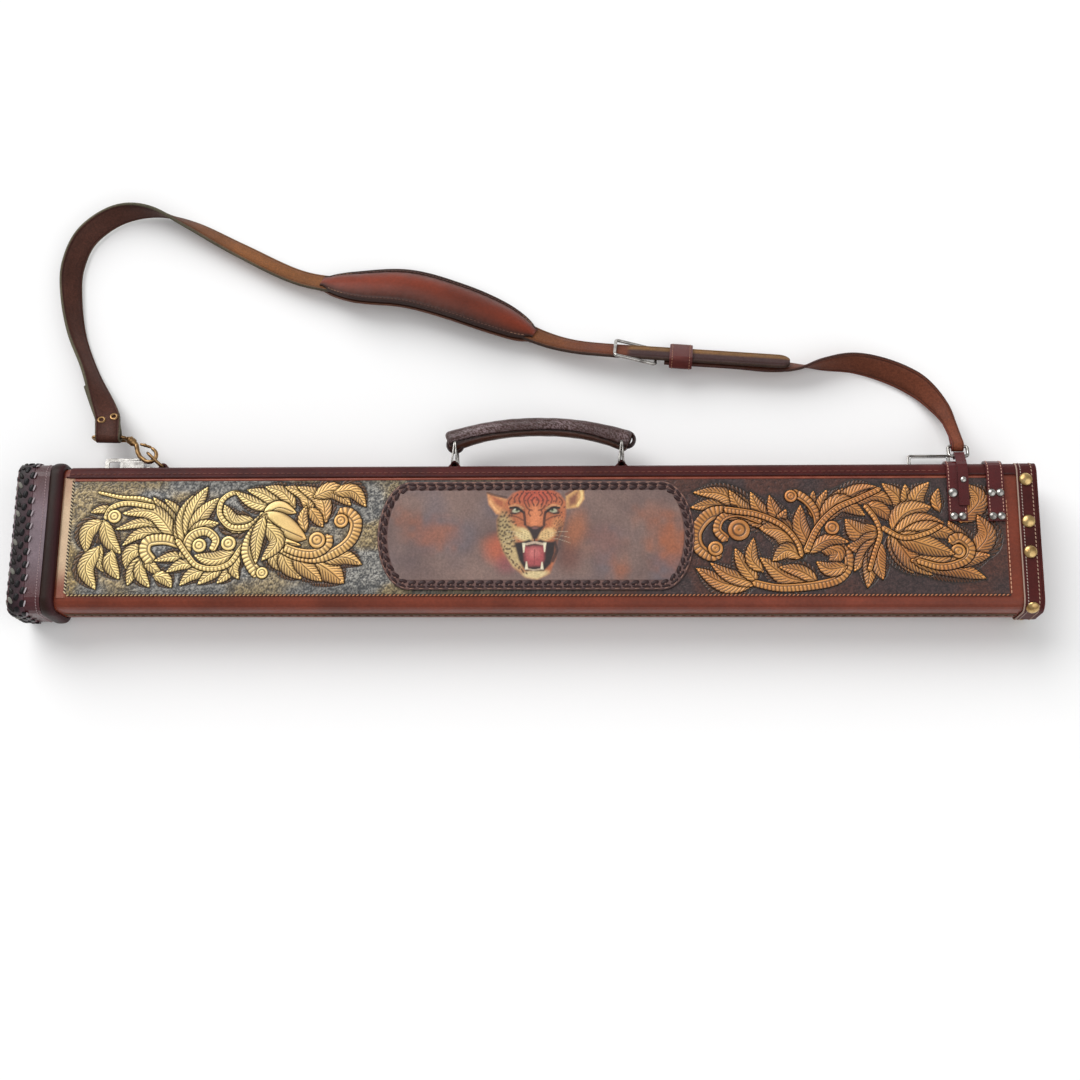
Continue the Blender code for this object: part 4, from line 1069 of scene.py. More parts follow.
def paint_mouth(p):
    """The open mouth, its tongue and four teeth."""
    jaw = [(-0.46, -0.27), (-0.28, -0.25), (-0.15, -0.2), (-0.04, -0.25), (0.08, -0.2), (0.2, -0.25)]
    jaw += [(0.38, -0.25), (0.37, -0.5), (0.3, -0.72), (0.16, -0.87), (-0.22, -0.87), (-0.36, -0.64)]
    p.shape(jaw, (34, 20, 20), 0.03)
    tongue = [(-0.26, -0.36), (0.17, -0.34), (0.16, -0.62), (0.1, -0.76), (-0.16, -0.77), (-0.24, -0.64)]
    p.shape(tongue, (160, 72, 74), 0.05)
    p.blob(-0.05, -0.48, 0.15, 0.14, (196, 112, 108), 0.8, power=0.8)
    p.stroke([(-0.04, -0.42), (-0.04, -0.72)], 0.016, (120, 48, 52), 0.7)
    p.stroke([(-0.2, -0.3), (-0.04, -0.27), (0.12, -0.3)], 0.035, (190, 168, 146), 0.9)
    for u, v, drop in ((-0.26, -0.28, -0.2), (0.17, -0.27, -0.2), (-0.2, -0.84, 0.17), (0.12, -0.84, 0.16)):
        tooth = [(u - 0.034, v), (u + 0.034, v), (u + 0.008, v + drop), (u - 0.012, v + drop)]
        p.shape(tooth, (222, 212, 182), 0.012)
    p.stroke([(-0.16, -0.83), (-0.04, -0.85), (0.08, -0.83)], 0.022, (176, 156, 134), 0.9)
    p.stroke([(0.38, -0.27), (0.42, -0.44), (0.34, -0.66)], 0.04, (44, 30, 30), 0.8)


def build_plaque():
    rows, columns = 236, 620
    v = np.sin(np.linspace(-math.pi / 2, math.pi / 2, rows))
    y = (PLAQUE_HALF * v)[:, None] * np.ones((1, columns))
    low, high = plaque_edge(y)
    x = low + (high - low) * np.linspace(0, 1, columns)[None, :]
    rim = np.minimum(np.minimum(x - low, high - x) * 0.9, PLAQUE_HALF - np.abs(y))
    cloud = 0.6 * scatter(x, y, 30, 31) + 0.4 * scatter(x, y, 11, 32)
    colour = blend_tones(tone(92, 72, 70), tone(134, 108, 98), cloud)
    colour = blend_tones(colour, tone(92, 88, 98), smooth(0.45, 0.9, scatter(x, y, 24, 36)) * 0.5)
    for cx, cy, rx, ry, power in GLOWS:
        q = np.hypot((x - cx) / rx, (y - cy) / ry) + 0.5 * (scatter(x, y, 6, 33) - 0.5)
        colour = blend_tones(colour, tone(154, 86, 52), power * (1 - smooth(0.0, 1.3, q)))
    paint_leopard(Picture(x, y, colour))
    streak = scatter(x, y * 0.25, 1.1, 34)[..., None]
    colour = colour * (0.93 + 0.14 * streak)
    band = blend_tones(tone(66, 42, 42), tone(102, 70, 62), scatter(x, y, 3, 35))
    colour = blend_tones(colour, band, smooth(8.6, 7.2, rim))
    height = 0.5 * smooth(0, 1.2, rim) - 0.35 * smooth(8.4, 7.4, rim) * smooth(6.2, 7.2, rim)
    z = 54.75 + height + 0.03 * scatter(x, y, 0.8, 37)
    grid_piece("picture_plaque", x, y, z, colour, 54.0, "print", ("medallion",))
    laces, glints = Soup(), Soup()
    # dark laces in two rows, then pale beads: thread along the outer edge, and painted glints beside the
    # inner laces
    for soup, inset, z, shade, *shape in (
        (laces, 5.6, 55.2, (52, 32, 32), 0.84, 3.6, 1.0, 0.35),
        (laces, 2.4, 55.1, (52, 32, 32), 0.9, 2.6, 0.9, -0.12),
        (glints, 1.0, 55.0, (150, 112, 96), 0.55, 0.9, 0.45, 0.1),
        (glints, 4.0, 55.2, (126, 92, 82), 0.3, 1.5, 0.8, 1.1),
    ):
        sew(soup, plaque_path(inset, z), UP, LACE_PITCH * MM, tone(*shade), *shape, True)
    laces.make("plaque_lacing", "lace", "case", "black_leather")
    glints.make("plaque_stitches_and_glints", "thread", "case", "printed_leather")


# --- front: margins, seams and borders --------------------------------------------------------

MARGIN_Z = 52.25
BORDER_Z = 53.1


def build_front():
    carve("carved_field_left", LEFT_X, -381.8, LEFT_FIELD, left_gold, left_ground, ("front_panel",))
    carve("carved_field_right", RIGHT_X, 136.8, RIGHT_FIELD, right_gold, right_ground)
    build_middle_ground()
    build_plaque()
    build_margins()
    build_seams()


def build_middle_ground():
    """The ground strip over and under the plaque, between the two fields."""
    x, y = np.meshgrid(np.linspace(LEFT_X[1], RIGHT_X[0], 400), np.linspace(*FIELD_Y, 40))
    pebble = pebbles(x, y)
    share = smooth(LEFT_X[1], RIGHT_X[0], x)[..., None]
    colour = left_ground(x, y, pebble) * 0.55 * (1 - share) + right_ground(x, y, pebble) * share
    z = GROUND_Z - 0.1 + 0.2 * pebble
    grid_piece("carved_field_middle", x, y, z, colour, PANEL_FOOT, "carved")


def build_margins():
    """Smooth leather between the cap and the carving, pale with a painted sheen over most of its height, and
    the red margin over it.
    """
    low, high = -390.6, -381.2
    x, y = np.meshgrid(np.linspace(low, high, 24), np.linspace(-53, 52, 160))
    # pale beige over the middle of the margin, fading to red brown at the bottom and half way at the top: a
    # painted sheen
    painted_sheen = smooth(-46, -20, y) * (1 - 0.5 * smooth(20, 50, y))
    colour = blend_tones(tone(128, 66, 44), tone(192, 164, 132), painted_sheen)
    colour = colour * (0.94 + 0.12 * scatter(x, y, 4, 41))[..., None]
    z = MARGIN_Z + 0.35 * smooth(0, 1.5, np.minimum(x - low, high - x))
    grid_piece("left_margin", x, y, z, colour, MARGIN_Z - 0.2, "carved")
    low, high = 48.7, 51.2
    x, y = np.meshgrid(np.linspace(-381, 402, 500), np.linspace(low, high, 12))
    colour = blend_tones(tone(122, 54, 38), tone(150, 76, 52), scatter(x, y, 7, 42))
    z = MARGIN_Z + 0.5 * smooth(0, 0.8, np.minimum(y - low, high - y))
    grid_piece("top_margin", x, y, z, colour, MARGIN_Z - 0.2, "carved")


def build_seams():
    """Rope border under and left of the carving, stitches at its right, and the long seams."""
    rope, shade = Soup(), Soup()
    black = tone(46, 30, 24)

    def rope_tone(point):
        return shade_mix(tone(206, 180, 130), tone(190, 122, 84), (point.x / MM + 381) / 300)

    low = mm((-381, -51, BORDER_Z), (402, -51, BORDER_Z))
    sew(rope, low, UP, 3.4 * MM, rope_tone, 0.72, 1.0, 0.5, 0.5)
    # dark beads set between the rope stitches, a little lower, here and on the left row: painted shade
    # between the twists of the rope
    beside = [p + Vector((1.7, 0, -0.1)) * MM for p in low]
    sew(shade, beside, UP, 3.4 * MM, black, 0.8, 1.3, 0.45, 0.5)
    left = mm((-382, -50, BORDER_Z), (-382, 48, BORDER_Z))
    sew(rope, left, UP, 3.0 * MM, tone(214, 196, 160), 0.95, 1.1, 0.6, 0.75)
    sew(shade, [p + 1.5 * MM * NORTH for p in left], UP, 3.0 * MM, black, 1.0, 1.3, 0.5, 0.75)
    right = mm((403.6, -50, BORDER_Z - 0.5), (403.6, 30, BORDER_Z - 0.5))
    sew(rope, right, UP, 3.6 * MM, tone(206, 150, 120), 0.8, 1.0, 0.5)
    rope.make("front_border_stitches", "thread", "case", "strap_leather")
    shade.make("front_border_shadow_stitches", "thread", "case", "black_leather")
    welts = Soup()
    for y, z, radius, colour in (
        (52.4, 52.9, 0.8, (62, 26, 26)),
        (-61.9, 30.5, 1.0, (84, 60, 42)),
        (-61.9, 24.5, 1.0, (84, 60, 42)),
    ):
        path = mm(*[(x, y, z) for x in np.linspace(-388, 411, 60)])
        welts.tube(path, radius * MM, tone(*colour), 8)
    side = mm((-388, -62.2, 27.5), (411, -62.2, 27.5))
    sew(welts, side, -NORTH, 7.4 * MM, tone(92, 66, 48), 0.62, 6.4, 1.3, 0.4)
    top = mm((-386, 55.0, 53.45), (350, 55.0, 53.45))
    sew(welts, top, Vector((0, 0.2, 0.98)), 5.2 * MM, tone(112, 62, 52), 0.7, 0.9, 0.35)
    welts.make("long_seams", "lace", "case", "burgundy_leather")


# --- cap and closed end -----------------------------------------------------------------------

CAP_FLOOR = 0.05 * MM
LACE_STEP = 11.2
END_THREAD_Z = 55.85
TAB_BEND = 12.85
CHROME = tone(200, 200, 200)


def build_cap():
    build_cap_lacing()
    build_cap_binding()
    build_cap_rim()
    thread = Soup()
    sew(thread, around(-405.4, -4.0), outward, 2.5 * MM, tone(150, 126, 128), 0.7, 0.8, 0.3, 0.2, True)
    thread.make("cap_stitches", "thread", "cap", "burgundy_leather", floor=CAP_FLOOR)


def build_cap_lacing():
    """Two rows of laces round the cap, painted highlights along the first, and two rows over its end with a
    pale painted glint on every third lace.
    """
    lace, gleam = Soup(), Soup()
    black, pale = tone(10, 7, 10), tone(206, 198, 202)
    for x, shift in ((-416.9, 0.0), (-421.8, 0.5)):
        path = around(x, -5.0)
        count = len(resample(path, LACE_STEP * MM, True))
        fine = resample(path, LACE_STEP * MM / 8, True)
        for k in range(count):
            point, along = fine[int((k + shift) * len(fine) / count) % len(fine)]
            out = outward(point)
            turned = Matrix.Rotation(-0.3, 3, out) @ along
            lace.bead(point, turned, out, 6.2 * MM, 4.2 * MM, 0.7 * MM, black, 12, 7)
            if not shift:
                # pale beads beside the first row, brighter where they face up: painted highlights
                bright = smooth(-0.2, 0.6, out.z) * (0.5 + 0.5 * math.sin(3.1 * k) ** 2)
                shade = shade_mix(tone(84, 52, 58), pale, float(bright))
                gleam.bead(point + 2.5 * MM * EAST, turned, out, 5.6 * MM, 1.5 * MM, 0.5 * MM, shade)
    for x, inset, tip, long, rise in ((-427.0, -4.4, 0.25, 6.4, 0.9), (-430.3, -2.6, 1.6, 5.0, 0.7)):
        for k, (point, along) in enumerate(resample(around(x, inset), 8.4 * MM, True)):
            out = (outward(point) - tip * EAST).normalized()
            turned = Matrix.Rotation(0.6, 3, out) @ along
            # every third lace pale grey: a painted glint
            shade = tone(120, 118, 110) if k % 3 == 0 else tone(30, 26, 24)
            lace.bead(point, turned, out, long * MM, 3.6 * MM, rise * MM, shade, 8, 5)
    lace.make("cap_lacing", "lace", "cap", "black_leather", floor=CAP_FLOOR)
    gleam.make("cap_lace_glints", "thread", "cap", "black_leather", floor=CAP_FLOOR)


def build_cap_binding():
    """The leather under the laces, from the cap's wall round its edge onto its end."""
    mauve, dusk, dark, black = tone(84, 56, 62), tone(60, 40, 46), tone(36, 28, 30), tone(24, 20, 20)
    rolls = (
        (-415.6, 3.9, mauve),
        (-416.0, 4.5, mauve),
        (-420.0, 4.7, dusk),
        (-427.0, 4.5, dark),
        (-429.6, 3.6, black),
        (-430.6, 1.6, black),
        (-430.6, -6.0, black),
    )
    binding = Soup()
    binding.rings([around(x, -grow) for x, grow, _ in rolls], [shade for _, _, shade in rolls], caps=False)
    binding.make("cap_binding", "lace", "cap", "black_leather", floor=CAP_FLOOR)


def build_cap_rim():
    """The padded roll at the cap's open end, with a pale painted highlight line along its edge toward the
    laces.
    """
    rim = Soup()
    rings, shades = [], []
    dark, maroon = tone(38, 20, 14), tone(52, 16, 20)
    for k in range(17):
        turn = math.pi * k / 16
        x = -396.6 - 5.6 * math.cos(turn)
        rings.append(around(x, -0.7 - 4.7 * math.sin(turn) ** 0.4))
        # the first two rings pale grey: a painted highlight line
        shades.append(shade_mix(dark, maroon, (k - 7) / 5) if k > 1 else tone(150, 140, 140))
    for x in (-391.4, -401.8):
        rings.append(around(x, -0.55))
        shades.append(dark)
    rim.rings(rings, shades, closed=True)
    rim.make("cap_rolled_rim", "pad", "cap", "black_leather", ("cap_rim",), floor=CAP_FLOOR)


def dome_piece(soup, centre, normal, radius, height, colour, sides=28, rings=9):
    normal = normal.normalized()
    side = normal.orthogonal().normalized()
    other = normal.cross(side)
    stack = []
    for r in range(rings + 1):
        turn = math.pi / 2 * (1 - r / rings)
        reach = max(math.sin(turn), 0.02) * radius
        stack.append(oval(centre + height * math.cos(turn) * normal, reach * side, reach * other, sides))
    soup.rings(stack, colour)


def rivet_seat(box):
    """The middle of the foot of a CAD fastener's box."""
    low, high = box
    seat = (low + high) / 2
    seat.z = low.z
    return seat


def build_closed_end():
    build_nails()
    build_end_stitches()
    build_rivets()


def build_nails():
    for k in range(1, 7):
        low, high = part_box(f"brass_nail_{k}")
        middle = (low + high) / 2
        out = outward(middle)
        nail = Soup()
        dome_piece(nail, middle - 1.2 * MM * out, out, 5.6 * MM, 2.9 * MM, tone(200, 170, 110))
        nail.make(f"dome_nail_{k}", "brass", "case", "brass", (f"brass_nail_{k}",))


def build_end_stitches():
    """Stitches and a welt round the closed end, and stitches on the tabs over the top edge."""
    thread = Soup()
    grey, beige, rose = tone(176, 158, 148), tone(170, 140, 120), tone(196, 150, 132)
    sew(thread, around(416.6, -1.9), outward, 2.6 * MM, grey, 0.7, 0.8, 0.35, 0.15, True)
    sew(thread, around(425.6, -1.9), outward, 3.4 * MM, beige, 0.7, 0.9, 0.4, 0.15, True)
    thread.tube(around(413.7, -1.5), 0.65 * MM, tone(160, 136, 122), 8, True)
    # the strap anchor covers the second row of stitches from y 22.5 on
    z, bend = END_THREAD_Z, TAB_BEND
    sew(thread, mm((369.5, 13, z), (369.5, 22.5, z)), UP, 2.9 * MM, rose, 0.66, 0.75, 0.3)
    for x in (357.0, 389.5, 400.5):
        turns = np.linspace(0.2, 1.5, 8)
        path = [(x, 53 + bend * math.sin(t), z - bend + bend * math.cos(t)) for t in turns]
        path = mm((x, 13, z), (x, 53, z), *path)
        sew(thread, path, outward, 2.9 * MM, rose, 0.66, 0.75, 0.3)
    thread.make("end_stitches", "thread", "case", "burgundy_leather")


def build_rivets():
    for k in range(1, 5):
        rivet = Soup()
        size, shifts = (4.1, (0,)) if k == 1 else (3.5, (-3.5, 3.5))
        for shift in shifts:
            seat = rivet_seat(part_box(f"tab_rivet_{k}")) + shift * MM * EAST
            dome_piece(rivet, seat, UP, size * MM, 2.3 * MM, CHROME)
        rivet.make(f"chrome_rivet_{k}", "steel", "case", "nickel", (f"tab_rivet_{k}",))
    pin = Soup()
    dome_piece(pin, rivet_seat(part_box("anchor_rivet")), UP, 2.6 * MM, 1.5 * MM, CHROME, 20)
    pin.make("anchor_pin", "steel", "case", "nickel", ("anchor_rivet",))


# --- handle -----------------------------------------------------------------------------------

HANDLE_X = (-57.5, 85.5)
HANDLE_Z = 28
FOOT_Y = 67.6
PIN_Y = 88.2


def loop_path(centre, across, along, half_across, half_along, radius, steps=8):
    """A closed rounded rectangle in the plane of across and along."""
    path = []
    for sx, sy, start in ((1, 1, 0), (-1, 1, 90), (-1, -1, 180), (1, -1, 270)):
        corner = centre + sx * (half_across - radius) * across + sy * (half_along - radius) * along
        path += [corner + a * across + b * along for a, b in quarter(radius, start, steps)]
    return path


def ring_piece(name, node, body, finish, slot, centre, across, along, half_across, half_along, radius, wire):
    ring = Soup()
    path = loop_path(centre, across, along, half_across, half_along, radius)
    ring.tube(path, wire, CHROME, 14, True, up=across.cross(along))
    ring.make(name, finish, body, slot, (node,))


def build_handle():
    build_handle_rings()
    build_grip()


def build_handle_rings():
    for side, x in zip(("left", "right"), HANDLE_X):
        ring = Soup()
        for shift, lean in ((-1.2, 0.1), (1.2, -0.07)):
            centre = Vector((x + shift, (FOOT_Y + PIN_Y) / 2, HANDLE_Z)) * MM
            along = Vector((lean, 1, 0)).normalized()
            path = loop_path(centre, along, UP, 10.6 * MM, 11 * MM, 4 * MM)
            ring.tube(path, 0.85 * MM, CHROME, 12, True, up=along.cross(UP))
        ring.make(f"handle_wire_ring_{side}", "steel", f"ring_{side}", "nickel", (f"handle_ring_{side}",))


def grip_skin(share, turn, spot):
    """Off-round shifts and the tone of the creased grip leather, with painted shade in the crease and painted
    glints on its upper face; share runs from -1 to 1.
    """
    wander = 0.1 * math.sin(5 * share) - 0.1 * share
    crease = math.exp(-(((turn - 2.3 + wander) / 0.11) ** 2))
    wave = math.sin(31 * share + 2 * math.sin(3 * turn)) * math.sin(2 * turn + 9 * share)
    off, lift = 0.125 * wave - 1.6 * crease, 0.1 * wave - 1.3 * crease
    # darker in the crease, a painted shade, and darker toward each end
    dark = 0.75 * crease + 0.2 * max(0, (abs(share) - 0.93) / 0.07)
    panel = 1.0 if 0.55 < turn < 2.2 else 0.12
    # pale violet grey specks on the upper face, strongest where it faces up: painted glints
    bright = panel * max(0, math.sin(turn)) ** 2 * (spot > 0.58)
    painted_glint = bright * (0.35 + 0.5 * spot) * (0.7 + 0.3 * math.sin(7 * share))
    plain = shade_mix(tone(66, 38, 32), tone(112, 68, 44), 0.35 if 2.4 < turn < 3.3 else 0.0)
    shade = tuple(c * (1 - dark) for c in shade_mix(plain, tone(150, 128, 132), painted_glint))
    return off, lift, shade


def build_grip():
    grip = Soup()
    middle, reach = sum(HANDLE_X) / 2, (HANDLE_X[1] - HANDLE_X[0]) / 2 + 6.5
    rise, sides, count = 14, 64, 170
    rings, shades = [], []
    for i in range(count + 1):
        share = -1 + 2 * i / count
        x = middle + reach * share
        y = PIN_Y + rise * (1 - abs(share) ** 2.2) + 1.5
        slope = math.atan(-rise / reach * 2.2 * abs(share) ** 1.2 * math.copysign(1, share))
        swell = abs(share) ** 4
        lip = 1 - 0.18 * max(0, (abs(share) - 0.965) / 0.035) ** 2
        half_y, half_z = (8.0 + 1.7 * swell) * lip, (8.3 + 0.4 * swell) * lip
        ring = []
        for k in range(sides):
            turn = 2 * math.pi * k / sides
            spot = math.sin(i * 127.1 + k * 311.7) * 43758.5453 % 1.0
            off, lift, shade = grip_skin(share, turn, spot)
            c, s = (half_y + off) * math.cos(turn), (half_z + lift) * math.sin(turn)
            ring.append((x - c * math.sin(slope), y + c * math.cos(slope), HANDLE_Z + s))
            shades.append(shade)
        rings.append(mm(*ring))
    grip.rings(rings, CHROME, caps=False)
    grip.tones = shades
    tan, dark = tone(96, 60, 50), tone(18, 12, 11)
    # the inner rings of each mouth darken toward black deeper in: painted shade in the hollow
    mouth = ((0.16, -0.6, tan), (0.3, 0.6, tone(60, 36, 30)), (0.4, 5, tone(22, 15, 14)))
    mouth += ((0.7, 6.5, dark), (0.97, 6.5, dark))
    for end, edge in ((-1, rings[0]), (1, rings[-1])):
        centre = sum(edge, Vector()) / sides
        inner = [[p.lerp(centre, t) - end * depth * MM * EAST for p in edge] for t, depth, _ in mouth]
        grip.rings([edge] + inner, [tan] + [shade for _, _, shade in mouth], caps=False)
    grip.make("rolled_grip", "grip", "grip", "grip_leather", ("handle_grip",), sharp=60)
    eyes = Soup()
    for x, across, ahead in ((HANDLE_X[0], -0.5, -0.2), (HANDLE_X[1], 4.6, 3.6)):
        centre = Vector((x + across, PIN_Y + ahead, HANDLE_Z)) * MM
        path = oval(centre, 6.4 * MM * EAST, 6.4 * MM * NORTH, 24)
        eyes.tube(path, 1.7 * MM, tone(52, 28, 26), 12, True, 2.1, UP)
    eyes.make("grip_eye_loops", "grip", "grip", "grip_leather")


# --- straps -----------------------------------------------------------------------------------

STRAP_WIDTH = 22
STRAP_THICK = 3
SHORT_THICK = 2.6
BUCKLE_X = 92
EYE_STEPS = 14
PAD_ENDS = ((-181, 247, 10), (8, 196, 10))
PAD_WIDTH = 46
PAD_RISE = 5.4
EYE_LEFT = Vector((-364.5, 98.0, 24.0))
EYE_RIGHT = Vector((368.6, 80.2, 41.0))
LONG_ROUTE = (
    (-366.0, 112.0, 21.5, 84),
    (-373.0, 128.0, 17.0, 60),
    (-389.5, 163.0, 12.2, 26),
    (-405.5, 200.0, 11.0, 30),
    (-414.0, 238.0, 10.2, 42),
    (-415.0, 268.0, 9.5, 47),
    (-404.0, 297.0, 9.6, 44),
    (-377.0, 317.0, 10.6, 30),
    (-345.0, 319.5, 12.2, 0),
    (-309.0, 306.5, 11.0, -34),
    (-262.0, 281.5, 9.2, -49),
    (-206.0, 253.5, 10.0, -54),
    (-157.0, 243.0, 14.2, -60),
    (-108.0, 240.0, 15.4, -62),
    (-66.0, 228.0, 15.4, -60),
    (-25.0, 211.5, 14.2, -58),
    (12.0, 193.5, 12.0, -54),
    (42.0, 184.0, 12.6, -49),
    (78.0, 178.4, 15.8, -48),
    (114.0, 175.6, 16.0, -48),
    (150.0, 172.8, 16.0, -48),
    (186.0, 170.0, 16.0, -48),
    (222.0, 167.2, 16.0, -48),
)
SHORT_ROUTE = (
    (123.5, 172.1, 13.0, -48),
    (153.0, 169.9, 13.0, -48),
    (186.0, 167.3, 13.0, -48),
    (216.0, 164.6, 11.8, -47),
    (240.0, 164.0, 10.6, -30),
    (262.0, 166.0, 11.4, 6),
    (290.0, 167.0, 10.6, 34),
    (320.0, 159.0, 9.2, 50),
    (345.0, 145.0, 9.0, 56),
    (362.0, 124.0, 12.5, 66),
    (368.5, 104.0, 22.0, 82),
)


def smooth_rows(controls, per_span):
    """A smooth route through the controls, with per_span rows to each of its spans."""
    rows = []
    last = len(controls) - 1
    for i in range(last):
        quad = [controls[max(0, min(last, i + d))] for d in (-1, 0, 1, 2)]
        for k in range(per_span):
            rows.append([spline(*column, k / per_span) for column in zip(*quad)])
    rows.append(list(controls[-1]))
    return rows


def stations_of(route, per_span):
    """(centre, direction across, width) along a strap; a route row ends with its lean in degrees."""
    rows = smooth_rows(route, per_span)
    rows.append([2 * a - b for a, b in zip(rows[-1], rows[-2])])
    stations = []
    for (x, y, z, lean), ahead in zip(rows, rows[1:]):
        heading = Vector((ahead[0] - x, ahead[1] - y, 0)).normalized()
        side = Vector((-heading.y, heading.x, 0))
        turn = math.radians(lean)
        across = math.cos(turn) * UP + math.sin(turn) * side
        stations.append((Vector((x, y, z)), across, STRAP_WIDTH))
    return stations


def folded_eye(bar, across, towards, thick, width, tail):
    """Stations of a strap end: its tail of a given length, if any, then the turn round the bar."""
    across = across.normalized()
    away = towards - bar
    away = (away - away.dot(across) * across).normalized()
    top = away.cross(across)
    if top.z < 0:
        top = -top
    wrap = 1.5 + 0.7 + thick / 2
    below = thick + 0.3
    stations = []
    for k in range(5 if tail else 0):
        reach = tail + (wrap + 5 - tail) * k / 4
        stations.append((bar + reach * away - below * top, across, width))
    for k in range(EYE_STEPS + 1):
        turn = math.radians(-90 - 180 * k / EYE_STEPS)
        ray = math.cos(turn) * away + math.sin(turn) * top
        stations.append((bar + wrap * ray, across, width))
    return stations


def strap_mesh(soup, stations, thick, palette):
    """A strap with rounded, burnished edges and an edge line on both faces."""
    profile = []
    for face in (1, -1):
        for t in (-0.44, -0.41, -0.385, -0.36, -0.2, 0.0, 0.2, 0.36, 0.385, 0.41, 0.44):
            dip = 0.16 if abs(t) == 0.385 else 0.0
            profile.append((face * t, face * (0.5 - dip), "line" if dip else "face"))
        for a, b in ((0.478, 0.42), (0.497, 0.2), (0.497, -0.2), (0.478, -0.42)):
            profile.append((face * a, face * b, "edge"))
    path = [centre for centre, _, _ in stations]
    rings, shades = [], []
    for i, (centre, across, width) in enumerate(stations):
        along = (path[min(i + 1, len(path) - 1)] - path[max(i - 1, 0)]).normalized()
        across = (across - across.dot(along) * along).normalized()
        out = along.cross(across)
        share = i / (len(stations) - 1)
        ring = []
        for a, b, kind in profile:
            ring.append((centre + a * width * across + b * thick * out) * MM)
            shades.append(palette(share, kind, a, centre.x))
        rings.append(ring)
    soup.rings(rings, CHROME)
    soup.tones = shades


def shade_mix(a, b, share):
    share = max(0.0, min(1.0, share))
    return tuple(p * (1 - share) + q * share for p, q in zip(a, b))


def long_palette(share, kind, a, x):
    """Dark flesh side on the left arc, ochre after the twist, grey-olive cut edges."""
    if kind == "edge":
        return shade_mix(tone(96, 90, 72), tone(66, 48, 40), (x + 330) / 300)
    if kind == "line":
        return shade_mix(tone(70, 30, 28), tone(60, 36, 30), share)
    base = shade_mix(tone(80, 46, 36), tone(138, 86, 46), (x + 345) / 90)
    base = shade_mix(base, tone(112, 60, 38), (x + 30) / 90)
    if x > BUCKLE_X:
        base = tone(136, 96, 52) if a < -0.1 else tone(70, 44, 42)
    return shade_mix(base, tuple(c * 0.72 for c in base), abs(a) * 1.6)


def short_palette(share, kind, a, x):
    if kind == "edge":
        return tone(72, 44, 38) if a > 0 else tone(118, 44, 36)
    if kind == "line":
        return tone(62, 34, 30)
    base = shade_mix(tone(116, 64, 44), tone(126, 66, 44), share)
    return shade_mix(base, tuple(c * 0.75 for c in base), abs(a) * 1.6)


def nearest(points, place):
    return min(range(len(points)), key=lambda i: (points[i] - place).length)


def strap_frame(route, place):
    """A strap's centre, and its directions along, across and out, near a place."""
    index = nearest([station[0] for station in route], place)
    centre, across, _ = route[index]
    along = (route[min(index + 1, len(route) - 1)][0] - route[max(index - 1, 0)][0]).normalized()
    across = (across - across.dot(along) * along).normalized()
    out = along.cross(across)
    return centre, along, across, out if out.z > 0 else -out


def build_straps():
    axis = (EYE_RIGHT - EYE_LEFT).normalized()
    route = stations_of(LONG_ROUTE, 9)
    build_long_strap(route, axis)
    build_short_strap(axis)
    build_pad(route)
    build_strap_fittings(route)


def build_long_strap(route, axis):
    """From the snap hook's link, with its end folded back, to its rounded tip."""
    towards = stations_of(LONG_ROUTE, 3)[2][0]
    eye = folded_eye(EYE_LEFT, -axis, towards, STRAP_THICK, STRAP_WIDTH, 0)
    # the folded-back ply lies under the strap
    tail = []
    for place, _, width in reversed(route[5:16]):
        centre, _, across, out = strap_frame(route, place)
        tail.append((centre - (STRAP_THICK + 0.2) * out, across, width - 1))
    end, across, _ = route[-1]
    heading = (end - route[-2][0]).normalized()
    tip = []
    for k in range(1, 12):
        width = 2 * math.sqrt(max(11**2 - (11 * (k / 11.4)) ** 2.4 * 11**-0.4, 1))
        tip.append((end + k * heading, across, min(STRAP_WIDTH, width)))
    strap = Soup()
    strap_mesh(strap, tail + eye + route[4:] + tip, STRAP_THICK, long_palette)
    strap.make("long_strap_leather", "strap", "strap", "strap_leather", ("strap_long",), sharp=70)


def build_short_strap(axis):
    """From under the long strap to the end ring, narrowing to its eye."""
    short = stations_of(SHORT_ROUTE, 9)
    neck = len(short) - 21
    short = [(c, a, w - 11.5 * max(0, (i - neck) / 18) ** 1.2) for i, (c, a, w) in enumerate(short)]
    eye = folded_eye(EYE_RIGHT, axis, stations_of(SHORT_ROUTE, 3)[-2][0], 2.2, 10, 22)
    strap = Soup()
    strap_mesh(strap, short[:-3] + eye[::-1], SHORT_THICK, short_palette)
    strap.make("short_strap_leather", "strap", "strap", "strap_leather", ("strap_short",), sharp=70)


def pad_point(t, wave):
    """Dome, pucker and seam across the pad, at t from -1 to 1."""
    dome = max(0, 1 - (abs(t) / 0.8) ** 2.1)
    pucker = 0.25 * math.sin(wave) * max(0, 1 - abs(abs(t) - 0.74) / 0.12)
    seam = 0.8 * math.exp(-(((abs(t) - 0.84) / 0.05) ** 2))
    return dome, pucker, seam


